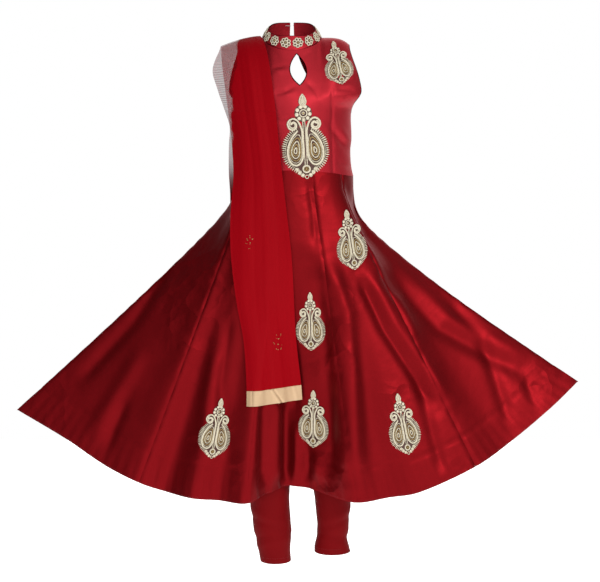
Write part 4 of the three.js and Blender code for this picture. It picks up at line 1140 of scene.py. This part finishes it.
def cut(piece, outline, facing):
    """The opening of that outline cut through a panel"""
    count = len(outline)
    far = 200 * facing
    verts = [(x * MM, y * MM, z * MM) for y in (0, far) for x, z in outline]
    sides = [(i, (i + 1) % count, (i + 1) % count + count, i + count) for i in range(count)]
    tool = bpy.data.meshes.new("tool")
    tool.from_pydata(verts, [], [tuple(range(count))[::-1], tuple(range(count, 2 * count))] + sides)
    shape = bmesh.new()
    shape.from_mesh(tool)
    bmesh.ops.recalc_face_normals(shape, faces=shape.faces)
    shape.to_mesh(tool)
    shape.free()
    cutter = put("cutter", tool)
    modifier = piece.modifiers.new("Opening", "BOOLEAN")
    modifier.operation, modifier.object = "DIFFERENCE", cutter
    modifier.solver = "EXACT" if facing == FRONT else "FAST"  # the exact one loses the back halves
    graph = bpy.context.evaluated_depsgraph_get()
    made = bpy.data.meshes.new_from_object(piece.evaluated_get(graph), depsgraph=graph)
    piece.modifiers.clear()
    piece.data = made
    bpy.data.objects.remove(cutter)
    finish_mesh(made)


def edge_line(tree, outline, facing, grow_by, sink):
    """A line on the panels round an opening's outline"""
    middle = outline.mean(axis=0)
    points = []
    for x, z in outline:
        away = np.array([x, z]) - middle
        at = middle + away * (1 + grow_by / np.linalg.norm(away))
        out = touch(tree, at[0], at[1], facing)
        if out is not None:
            points.append((x, facing * (out - sink), z))
    return np.array(points)


# Operators

# Where the camera and the lamp stand and what they face, in metres and degrees, and how the room's light
# falls off as a ray turns from the front or the back towards the side
CAMERA = {"x": 0.004, "away": 3.6, "z": -0.498, "tilt": 7, "sensor": 36}
LAMP = {"place": (1.5, -3.2, 0.9), "aim": (0, 0, -0.5), "size": 1.1}
ROOM = {"ahead": 0.88, "lean": (0.17, 0, 0.3), "dark_at": 0.32, "full_at": 0.95, "dark": 0.05}
FLOOR_REACH = 2.4


class SUIT_OT_stage(bpy.types.Operator):
    """Makes the camera, the pale floor and the soft studio light"""
    bl_idname = "suit.stage"
    bl_label = "Stage"

    def execute(self, context):
        look = context.scene.suit_stage
        lens = bpy.data.cameras.new("camera")
        lens.lens, lens.sensor_width = look.lens, CAMERA["sensor"]
        tilt = math.radians(CAMERA["tilt"])
        place = (CAMERA["x"], -CAMERA["away"] * math.cos(tilt), CAMERA["z"] + CAMERA["away"] * math.sin(tilt))
        context.scene.camera = self.stand("camera", lens, place, (math.pi / 2 - tilt, 0, 0))
        self.room(context.scene, look.surround)
        key = bpy.data.lights.new("key", "AREA")
        key.shape, key.size, key.energy = "DISK", LAMP["size"], look.key
        aim = Vector(LAMP["aim"]) - Vector(LAMP["place"])
        self.stand("key", key, LAMP["place"], aim.to_track_quat("-Z", "Y").to_euler())
        mesh = bpy.data.meshes.new("floor")
        square = ((-1, -1), (1, -1), (1, 1), (-1, 1))
        corners = [(x * FLOOR_REACH, y * FLOOR_REACH, look.floor) for x, y in square]
        mesh.from_pydata(corners, [], [(0, 1, 2, 3)])
        put("floor", mesh, painted_floor("matt_floor_paint", look.colour))
        return {"FINISHED"}

    def stand(self, name, data, place, turn):
        """A camera or lamp at its place"""
        made = bpy.data.objects.new(name, data)
        made.location, made.rotation_euler = place, turn
        bpy.context.scene.collection.objects.link(made)
        return made

    def room(self, scene, strength):
        """Soft light from the front and the back, a little more from above, and dark at the sides, so that
        satin grades as it turns. The camera itself sees the room white."""
        world = bpy.data.worlds.new("studio")
        scene.world = world
        world.use_nodes = True
        tree = world.node_tree
        way = add(tree, "ShaderNodeTexCoord").outputs["Generated"]
        ahead = add(tree, "ShaderNodeSeparateXYZ", {0: way}).outputs[1]
        ahead = add(tree, "ShaderNodeMath", {0: ahead}, operation="ABSOLUTE").outputs[0]
        lean = add(tree, "ShaderNodeVectorMath", {0: way, 1: ROOM["lean"]},
                   operation="DOT_PRODUCT").outputs["Value"]
        toward = add(tree, "ShaderNodeMath", {0: ahead, 1: ROOM["ahead"], 2: lean},
                     operation="MULTIPLY_ADD").outputs[0]
        soft = add(tree, "ShaderNodeMapRange",
                   {0: toward, 1: ROOM["dark_at"], 2: ROOM["full_at"], 3: ROOM["dark"], 4: strength},
                   interpolation_type="SMOOTHSTEP").outputs[0]
        seen = add(tree, "ShaderNodeLightPath").outputs["Is Camera Ray"]
        glow = add(tree, "ShaderNodeMapRange", {0: seen, 3: soft, 4: 1.0}).outputs[0]
        feed(tree, tree.nodes["Background"], {"Color": (1, 1, 1, 1), "Strength": glow})
        scene.view_settings.view_transform = "Standard"


# Mesh cells across and down each piece
CELLS = {"bodice": 110, "bodice_top": 46, "bodice_foot": 30, "collar": (260, 14), "band": (160, 10), "leg": 84,
         "dupatta": 72, "fall": 96, "over": 60, "border": 18}
LEG_ROWS = ((0, 0.19, 24), (0.19, 0.24, 16), (0.24, 0.8, 60), (0.8, 1, 60))


class SUIT_OT_bodice(bpy.types.Operator):
    """Makes the bodice's front and two backs with their openings"""
    bl_idname = "suit.bodice"
    bl_label = "Bodice"

    def execute(self, context):
        thickness = context.scene.suit_cloth.wall / MM
        vs = row_steps((0, 0.5, CELLS["bodice_top"]), (0.5, 1, CELLS["bodice_foot"]))
        half = CELLS["bodice"] // 2
        panels = {"bodice_front": (FRONT, steps(0, 1, CELLS["bodice"])),
                  "bodice_back_left": (BACK, steps(0, 0.5, half)),
                  "bodice_back_right": (BACK, steps(0.5, 1, half))}
        for name, (facing, us) in panels.items():
            surface = bodice_surface(facing)
            u, v = np.meshgrid(us, vs)
            lift = pressed(surface(u, v), BODICE_CREASES[facing]) * smooth(v, 0.06, 0.2)
            points = raised_off(surface, u, v, facing, lift)
            opening = leaf_outline() if facing == FRONT else drop_outline()
            sew(name, points, facing, thickness, "bodice", "bodice_satin", "hung", ["collar"],
                opening=opening, back=-LAP)
        return {"FINISHED"}


FLOWER_GAP = 0.75  # how far a rosette's foot stands off the collar's outer face


class SUIT_OT_collar(bpy.types.Operator):
    """Makes the stand collar and its twelve rosettes, and gives the hook and eye their wire finish"""
    bl_idname = "suit.collar"
    bl_label = "Collar"

    def execute(self, context):
        across, down = CELLS["collar"]
        u, v = np.meshgrid(steps(0, 1, across), steps(0, 1, down))
        bow = (0.5 + 0.25 * np.sin(u * 61)) * np.sin(np.pi * v)
        points = raised_off(collar_surface, u, v, FRONT, bow)
        sew("collar", points, FRONT, COLLAR["wall"], "bodice", "bodice_satin", "stretched", ["bodice_front"])
        flower = flower_mesh(context.scene.suit_trim.flower / MM)
        for k in range(2 * FLOWER_PAIRS):
            at = 0.5 + (k + 0.5 - FLOWER_PAIRS) * FLOWER_STEP / (2 * (180 - COLLAR["gap"]))
            places = self.round_collar(vertices_of(flower), at, 0.5 * k)
            rosette = laid(f"collar_rosette_{k + 1:02d}", flower, places)
            dress(rosette, f"collar_flower_{k + 1:02d}")
        for name in ("collar_hook", "collar_eye"):
            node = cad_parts[name]
            node.data.materials.clear()
            node.data.materials.append(finish_of("wire"))
        return {"FINISHED"}

    def round_collar(self, local, at, spin):
        """The flat rosette turned by its spin and bent round the collar at that share of its way round"""
        near = [collar_surface(np.array(at + s), np.array(0.5)) for s in (-0.01, 0.01)]
        ends = [collar_surface(np.array(at), np.array(s)) for s in (0.0, 1.0)]
        around = np.linalg.norm(near[1] - near[0]) / 0.02
        tall = np.linalg.norm(ends[1] - ends[0])
        x = local[:, 0] * math.cos(spin) - local[:, 1] * math.sin(spin)
        y = local[:, 0] * math.sin(spin) + local[:, 1] * math.cos(spin)
        us, vs = at + x / around, 0.5 - y / tall
        rise = COLLAR["wall"] + FLOWER_GAP + local[:, 2]
        return collar_surface(us, vs) + normal_of(collar_surface, us, np.clip(vs, 0, 1), FRONT) * rise[:, None]


class SUIT_OT_skirt(bpy.types.Operator):
    """Makes the ten gores of the skirt with their folds and creases"""
    bl_idname = "suit.skirt"
    bl_label = "Skirt"

    def execute(self, context):
        cloth = context.scene.suit_cloth
        for facing, side in ((FRONT, "front"), (BACK, "back")):
            surface = skirt_surface(facing)
            above = "bodice_front_cloth" if facing == FRONT else "bodice_back_left_cloth"
            for k in range(GORES):
                u, v = np.meshgrid(steps(k / GORES, (k + 1) / GORES, cloth.columns), steps(0, 1, cloth.rows))
                flat = surface(u, v)
                lift = pressed(flat, SKIRT_CREASES[facing]) * smooth(v, 0, 0.06) + seam_dip(flat, v, 1.5, 2.8)
                down = cloth_places(flat)[..., 1] / MM
                sewing_line = np.exp(-((down - down[-1:] - cloth.turn_up / MM) / 3) ** 2)
                lift -= (0.8 + 0.3 * np.sin(u * 260)) * sewing_line
                lift += 0.5 * np.sin(u * 420 + 3 * np.sin(v * 9)) * smooth(v, 0.86, 1)
                points = raised_off(surface, u, v, facing, lift)
                sew(f"skirt_{side}_{k + 1}", points, facing, cloth.wall / MM, "skirt", "skirt_taffeta", "hung",
                    [above], back=-LAP)
        return {"FINISHED"}


class SUIT_OT_churidar(bpy.types.Operator):
    """Makes the churidar's waistband and its two legs"""
    bl_idname = "suit.churidar"
    bl_label = "Churidar"

    def execute(self, context):
        thickness = context.scene.suit_cloth.wall / MM
        across, down = CELLS["band"]
        points = grid_of(band_surface, steps(0, 1, across), steps(0, 1, down))
        sew("churidar_waistband", points, FRONT, thickness, "churidar", "churidar_knit", "stretched", [])
        for side, facing in (("left", BACK), ("right", FRONT)):
            surface = leg_surface(side)
            u, v = np.meshgrid(steps(0, 1, CELLS["leg"]), row_steps(*LEG_ROWS))
            rings = self.rings(u, surface(u, v)[..., 2]) * smooth(v, 0.45, 0.55) * (1 - smooth(v, 0.985, 1))
            points = raised_off(surface, u, v, facing, rings)
            sew(f"churidar_leg_{side}", points, facing, thickness, "churidar", "churidar_knit", "stretched",
                ["churidar_waistband_cloth"])
        return {"FINISHED"}

    def rings(self, u, height):
        """How far the gathered rings lift the knit round a leg"""
        lift = np.zeros(u.shape)
        for depth, z, slant, width in zip(*LEG_RINGS.values()):
            level = z + slant * 40 * np.cos(2 * np.pi * u + z) + 4 * np.sin(5 * u + z)
            uneven = 0.6 + 0.4 * np.sin(2 * np.pi * u + 2 * z)
            lift += depth * np.exp(-((height - level) / width) ** 2) * uneven
        return lift


def taut(places, values):
    """Cloth pulled tight over a row of places: each lies on the longest straight span over it"""
    best = np.array(values, float)
    count = len(best)
    for a in range(count - 1):
        for b in range(a + 2, count):
            inner = slice(a + 1, b)
            line = values[a] + (values[b] - values[a]) * (places[inner] - places[a]) / (places[b] - places[a])
            np.maximum(best[inner], line, out=best[inner])
    return best


def pleat(share, down):
    """Soft lengthwise pleats that wander a little on their way down"""
    wander = 0.05 * np.sin(4.2 * down + 1) + 0.03 * np.sin(9 * down)
    main = PLEATS["height"] * (1 - np.cos(2 * np.pi * PLEATS["count"] * (share + wander))) / 2
    return main + 0.2 * np.sin(2 * np.pi * 7.5 * share + 2.4 * np.sin(3 * down)) * np.sin(np.pi * share)


def over_place(share, angle):
    """Where the net lies over the shoulder, in X and Z, at its share across and its angle from the top"""
    x = mix(along(OVER, "angle", angle, "left"), along(OVER, "angle", angle, "right"), share)
    sink = np.maximum(0, DUPATTA["from"] - x) / DUPATTA["width"]
    top = DUPATTA["z"] - DUPATTA["drop"] * sink ** DUPATTA["bend"] + CLEAR["shoulder"]
    return x, CHEST + (top - CHEST) * np.cos(np.radians(angle))


def free_edge(depths, xs):
    """Depths with a slope past the body's edge, where nothing was found under the cloth"""
    first = next(i for i, depth in enumerate(depths) if depth)
    return np.array([d or depths[first] - DUPATTA["slope"] * abs(xs[first] - x) for d, x in zip(depths, xs)])


def shoulder_reach(tree, shares, facing):
    """How far forward or back the net has to reach to clear the shoulder, at each share across"""
    xs = over_place(shares, np.full(len(shares), 90.0 * facing))[0]
    reach = []
    for share in shares:
        needs = [0]
        for angle in steps(18, 90, 14):
            x, z = over_place(share, facing * angle)
            out = touch(tree, float(x), float(z), facing)
            needs.append((out + CLEAR["round"]) / math.sin(math.radians(angle)) if out else 0)
        reach.append(max(needs))
    return taut(xs, free_edge(reach, xs))


def fall_points(tree, shares, facing, reach, rows):
    """The places of a fall: taut over what is under it, both across and down, and pleated"""
    edges = FALLS[facing]
    foot = edges["z"][0]
    tilt = DUPATTA["tilt"] if facing == FRONT else 0
    levels = steps(CHEST, foot, rows)
    share, level = np.meshgrid(shares, levels)
    z = level + tilt * share * smooth(CHEST - level, 0, CHEST - foot)
    x = mix(along(edges, "z", z, "left"), along(edges, "z", z, "right"), share)
    depths = [reach]
    for j in range(1, rows + 1):
        found = [touch(tree, a, z[j, 0], facing) for a in x[j]]
        found = [out + CLEAR["fall"] if out else None for out in found]
        depths.append(taut(x[j], free_edge(found, x[j])))
    depths = np.array(depths)
    tight = np.array([taut(-levels, column) for column in depths.T]).T
    down = (CHEST - level) / 300
    return stack(x, facing * (tight + pleat(share, facing * down)), z)


class SUIT_OT_dupatta(bpy.types.Operator):
    """Lays the folded net over the shoulder, with a satin band on each end"""
    bl_idname = "suit.dupatta"
    bl_label = "Dupatta"

    def execute(self, context):
        net = context.scene.suit_cloth.net / MM
        tree = mesh_tree(sewn_pieces("bodice", "skirt", "collar_cloth"))
        shares = steps(0, 1, CELLS["dupatta"])
        reach = {facing: shoulder_reach(tree, shares, facing) for facing in (FRONT, BACK)}
        rows = CELLS["fall"]
        for facing, side in ((FRONT, "front"), (BACK, "back")):
            points = fall_points(tree, shares, facing, reach[facing], rows)
            first = rows - round(rows * DUPATTA["border"] / (CHEST - FALLS[facing]["z"][0]))
            piece = self.net(f"dupatta_{side}", points[:first + 1], facing, net, facing, "hung",
                             ["dupatta_shoulder"])
            end = self.band_points(points, first, facing)
            sew(f"dupatta_border_{side}", end, facing, net, "border", "border_satin", "hung", [piece.name])
            specks = grow(f"dupatta_specks_{side}", piece.data.copy(), "speck", material=finish_of("gold"))
            dress(put(f"dupatta_specks_{side}", specks), None)
        share, angle = np.meshgrid(shares, steps(-90, 90, CELLS["over"]))
        x, z = over_place(share, angle)
        depth = np.where(angle < 0, reach[FRONT], reach[BACK]) + pleat(share, 0 * share)
        points = stack(x, depth * np.sin(np.radians(angle)), z)
        self.net("dupatta_shoulder", points, BACK, net, FRONT, "draped",
                 ["bodice_front_cloth", "bodice_back_left_cloth"])
        return {"FINISHED"}

    def net(self, node, points, facing, thickness, sprig_side, held, rests_on):
        """A stretch of the folded net, marked with its layers and its sprigs"""
        marks = {"layers": self.layers(points), "sprig": self.sprigs(points, sprig_side)}
        return sew(node, points, facing, thickness, "net", "dupatta_net", held, rests_on, marks=marks)

    def layers(self, points):
        """How closed the net looks: single where it hangs past the bodice's edge, folded elsewhere"""
        x, z = points[..., 0], points[..., 2]
        high = smooth(z, -330, -190)
        edge = mix(-128, -116, smooth(z, -120, 0))
        edge = edge + 1.6 * np.sin(z / 11) + 1.1 * np.sin(z / 4.3 + 1)
        return 1 - 0.97 * high * (1 - smooth(x, edge - 3, edge + 3))

    def sprigs(self, points, facing):
        """Where the net carries small sprigs of metal thread"""
        amount = np.zeros(points.shape[:-1])
        for x, z in SPRIGS[facing]:
            apart = np.hypot(points[..., 0] - x, (points[..., 2] - z) / 1.6)
            amount = np.maximum(amount, 1 - smooth(apart, 4, 14))
        return amount

    def band_points(self, points, first, facing):
        """The end band: its own rows between the net's last one and the foot, with a slanting wrinkle"""
        v = steps(0, 1, CELLS["border"])[:, None]
        end = mix(points[first][None], points[-1][None], v[..., None])
        u = np.linspace(0, 1, points.shape[1])[None, :]
        line = u - (0.44 + 0.16 * v)
        wrinkle = 1.6 * np.exp(-(line / 0.018) ** 2) - 1.1 * np.exp(-((line - 0.04) / 0.02) ** 2)
        second = -0.9 * np.exp(-((u - 0.1) / 0.02) ** 2) + 0.6 * np.exp(-((u - 0.86 - 0.05 * v) / 0.03) ** 2)
        end[..., 1] += facing * (wrinkle + second + 0.5 * v * np.sin(2 * np.pi * 2.2 * u))
        return end


class SUIT_OT_embroidery(bpy.types.Operator):
    """Stitches the seven patches onto the front"""
    bl_idname = "suit.embroidery"
    bl_label = "Embroidery"

    def execute(self, context):
        motif = motif_mesh()
        tree = mesh_tree(sewn_pieces("bodice_front", "skirt_front"))
        for patch in PATCHES:
            dress(lay_patch(patch, motif, tree), patch.name)
        return {"FINISHED"}


# Sewing, in mm: how far out of an opening its rolled edge feels for the cloth and sinks in it, how far it
# stands off an armhole, and its radius on the collar. Then how far round the keyhole its stitches lie, how
# far stitches stand off, at what share of the way down the hems are sewn, and how thick the threads are.
ROLL = {"round": 1.5, "sink": 0.6, "armhole": 0.6, "collar": 0.8}
STITCH_ROUND, STITCH_RISE = 4, 0.1
HEM_SHARE, ANKLE_SHARE, HEM_RISE = 0.9955, 0.985, 0.3
ROW_ENDS = (0.002, 0.998)
KEYHOLE_THREAD, HEM_THREAD = 0.32, 0.34


class SUIT_OT_sewing(bpy.types.Operator):
    """Sews the hems, the rolled edges of the openings and the rows of stitches"""
    bl_idname = "suit.sewing"
    bl_label = "Sewing"

    def execute(self, context):
        trim, cloth = context.scene.suit_trim, context.scene.suit_cloth
        tree = mesh_tree(sewn_pieces("bodice", "skirt"))
        rolled = self.rolled(tree, trim.roll / MM)
        edges = grow("rolled_edges", path_mesh("rolled", rolled), "cord", spacing=0.002, sides=10,
                     material=finish_of("bodice"))
        dress(put("rolled_edges", edges), None)
        rows = self.rows(tree, cloth.wall / MM)
        sewn = stitched("hem_stitches", rows, trim.stitch, 3.2, 0.0, 0.85, "red_thread")
        dress(put("hem_stitches", sewn), None)
        return {"FINISHED"}

    def rolled(self, tree, roll):
        """Both openings, the armholes, and the collar's two long edges"""
        paths = [self.metric(edge_line(tree, leaf_outline(), FRONT, ROLL["round"], ROLL["sink"]), roll, True),
                 self.metric(edge_line(tree, drop_outline()[4:-5], BACK, ROLL["round"], ROLL["sink"]), roll)]
        vs = steps(0, 1, 240)
        for u in (0.0, 1.0):
            rims = []
            for facing in (FRONT, BACK):
                line = raised_off(bodice_surface(facing), np.full(vs.shape, u), vs, facing, ROLL["armhole"])
                rims.append(line[line[:, 2] > UNDERARM - 2])
            paths.append(self.metric(np.concatenate([rims[0], rims[1][::-1]]), roll, True))
        us = steps(*ROW_ENDS, 300)
        for v, rise in ((0.0, 0.75), (1.0, 1.1)):
            line = raised_off(collar_surface, us, np.full(us.shape, v), FRONT, rise)
            paths.append(self.metric(line, ROLL["collar"]))
        return paths

    def rows(self, tree, wall_mm):
        """The stitches round the keyhole, along the skirt's foot and round each ankle"""
        line = edge_line(tree, leaf_outline(), FRONT, STITCH_ROUND, -STITCH_RISE)
        paths = [self.metric(line, KEYHOLE_THREAD, True)]
        hems = [(skirt_surface(facing), facing, steps(*ROW_ENDS, 900), HEM_SHARE, HEM_RISE)
                for facing in (FRONT, BACK)]
        hems += [(leg_surface(side), facing, steps(0, 1, 120), ANKLE_SHARE, STITCH_RISE)
                 for side, facing in (("left", BACK), ("right", FRONT))]
        for surface, facing, us, share, rise in hems:
            line = raised_off(surface, us, np.full(us.shape, share), facing, wall_mm + rise)
            paths.append(self.metric(line, HEM_THREAD))
        return paths

    def metric(self, points, thickness, closed=False):
        """A path in metres from its points and thickness in mm"""
        return Path(points * MM, thickness * MM, closed)


# Settings and panel


def length(name, description, default):
    return FloatProperty(name=name, description=description, default=default, unit="LENGTH")


def colour(name, description, code):
    return FloatVectorProperty(name=name, description=description, subtype="COLOR", size=4,
                               default=linear(code))


class SuitCloth(bpy.types.PropertyGroup):
    wall: length("Cloth wall", "Thickness of the satin and the knit", 0.0012)
    net: length("Net wall", "Thickness of the folded net", 0.002)
    thread: FloatProperty(name="Thread spacing", description="Distance between drawn threads, in mm",
                          default=0.9)
    turn_up: length("Hem depth", "Height of the hem's sewing line", 0.064)
    columns: IntProperty(name="Gore columns", description="Mesh cells across each gore", default=48, min=8)
    rows: IntProperty(name="Gore rows", description="Mesh cells down each gore", default=120, min=8)
    bodice: colour("Bodice", "Satin of the bodice", 0x9E1F29)
    skirt: colour("Skirt", "Taffeta of the skirt", 0x720F14)
    churidar: colour("Churidar", "Knit of the churidar", 0x660307)
    dupatta: colour("Dupatta", "Net of the dupatta", 0x84000A)
    border: colour("Border", "Gold satin", 0xBA9C7A)


class SuitTrim(bpy.types.PropertyGroup):
    roll: length("Rolled edge", "Radius of the rolled edges", 0.001)
    stitch: length("Stitch spacing", "Distance between hem stitches", 0.0045)
    flower: length("Rosette radius", "Radius of the collar's rosettes", 0.0104)
    cream: colour("Cream", "Thick embroidery thread", 0xCDC4AC)
    gold: colour("Gold", "Metal thread", 0xA08654)
    # Painted shade: the dark brown that the gaps between the stitches show, laid as pads under them
    shade_pad: colour("Stitch shade pad", "Dark ground under the stitches", 0x46241A)


class SuitStage(bpy.types.PropertyGroup):
    lens: FloatProperty(name="Lens", description="Focal length in mm", default=108.0)
    key: FloatProperty(name="Key light", description="Power of the soft light in front", default=52.0,
                       unit="POWER")
    surround: FloatProperty(name="Surround", description="Strength of the broad soft light", default=1.6)
    floor: length("Floor height", "Height of the floor", -1.3)
    colour: colour("Floor", "Pale floor paint", 0xF6F6F5)


class SUIT_PT_panel(bpy.types.Panel):
    """Lists the suit's settings and its making, in order"""
    bl_label = "Salwar suit"
    bl_space_type = "VIEW_3D"
    bl_region_type = "UI"
    bl_category = "Salwar suit"

    def draw(self, context):
        for group in (context.scene.suit_cloth, context.scene.suit_trim, context.scene.suit_stage):
            box = self.layout.box()
            for key in group.__annotations__:
                box.prop(group, key)
        for operator in OPERATORS:
            self.layout.operator(operator.bl_idname)


OPERATORS = (SUIT_OT_stage, SUIT_OT_bodice, SUIT_OT_collar, SUIT_OT_skirt, SUIT_OT_churidar, SUIT_OT_dupatta,
             SUIT_OT_embroidery, SUIT_OT_sewing)
SETTINGS = {"suit_cloth": SuitCloth, "suit_trim": SuitTrim, "suit_stage": SuitStage}


def register():
    for kind in (*SETTINGS.values(), *OPERATORS, SUIT_PT_panel):
        bpy.utils.register_class(kind)
    for key, kind in SETTINGS.items():
        setattr(bpy.types.Scene, key, PointerProperty(type=kind))


def unregister():
    for key in SETTINGS:
        delattr(bpy.types.Scene, key)
    for kind in (SUIT_PT_panel, *reversed(OPERATORS), *SETTINGS.values()):
        bpy.utils.unregister_class(kind)


def main():
    register()
    for operator in OPERATORS:
        name = operator.bl_idname.split(".")[1]
        getattr(bpy.ops.suit, name)()


if __name__ == "__main__":
    main()
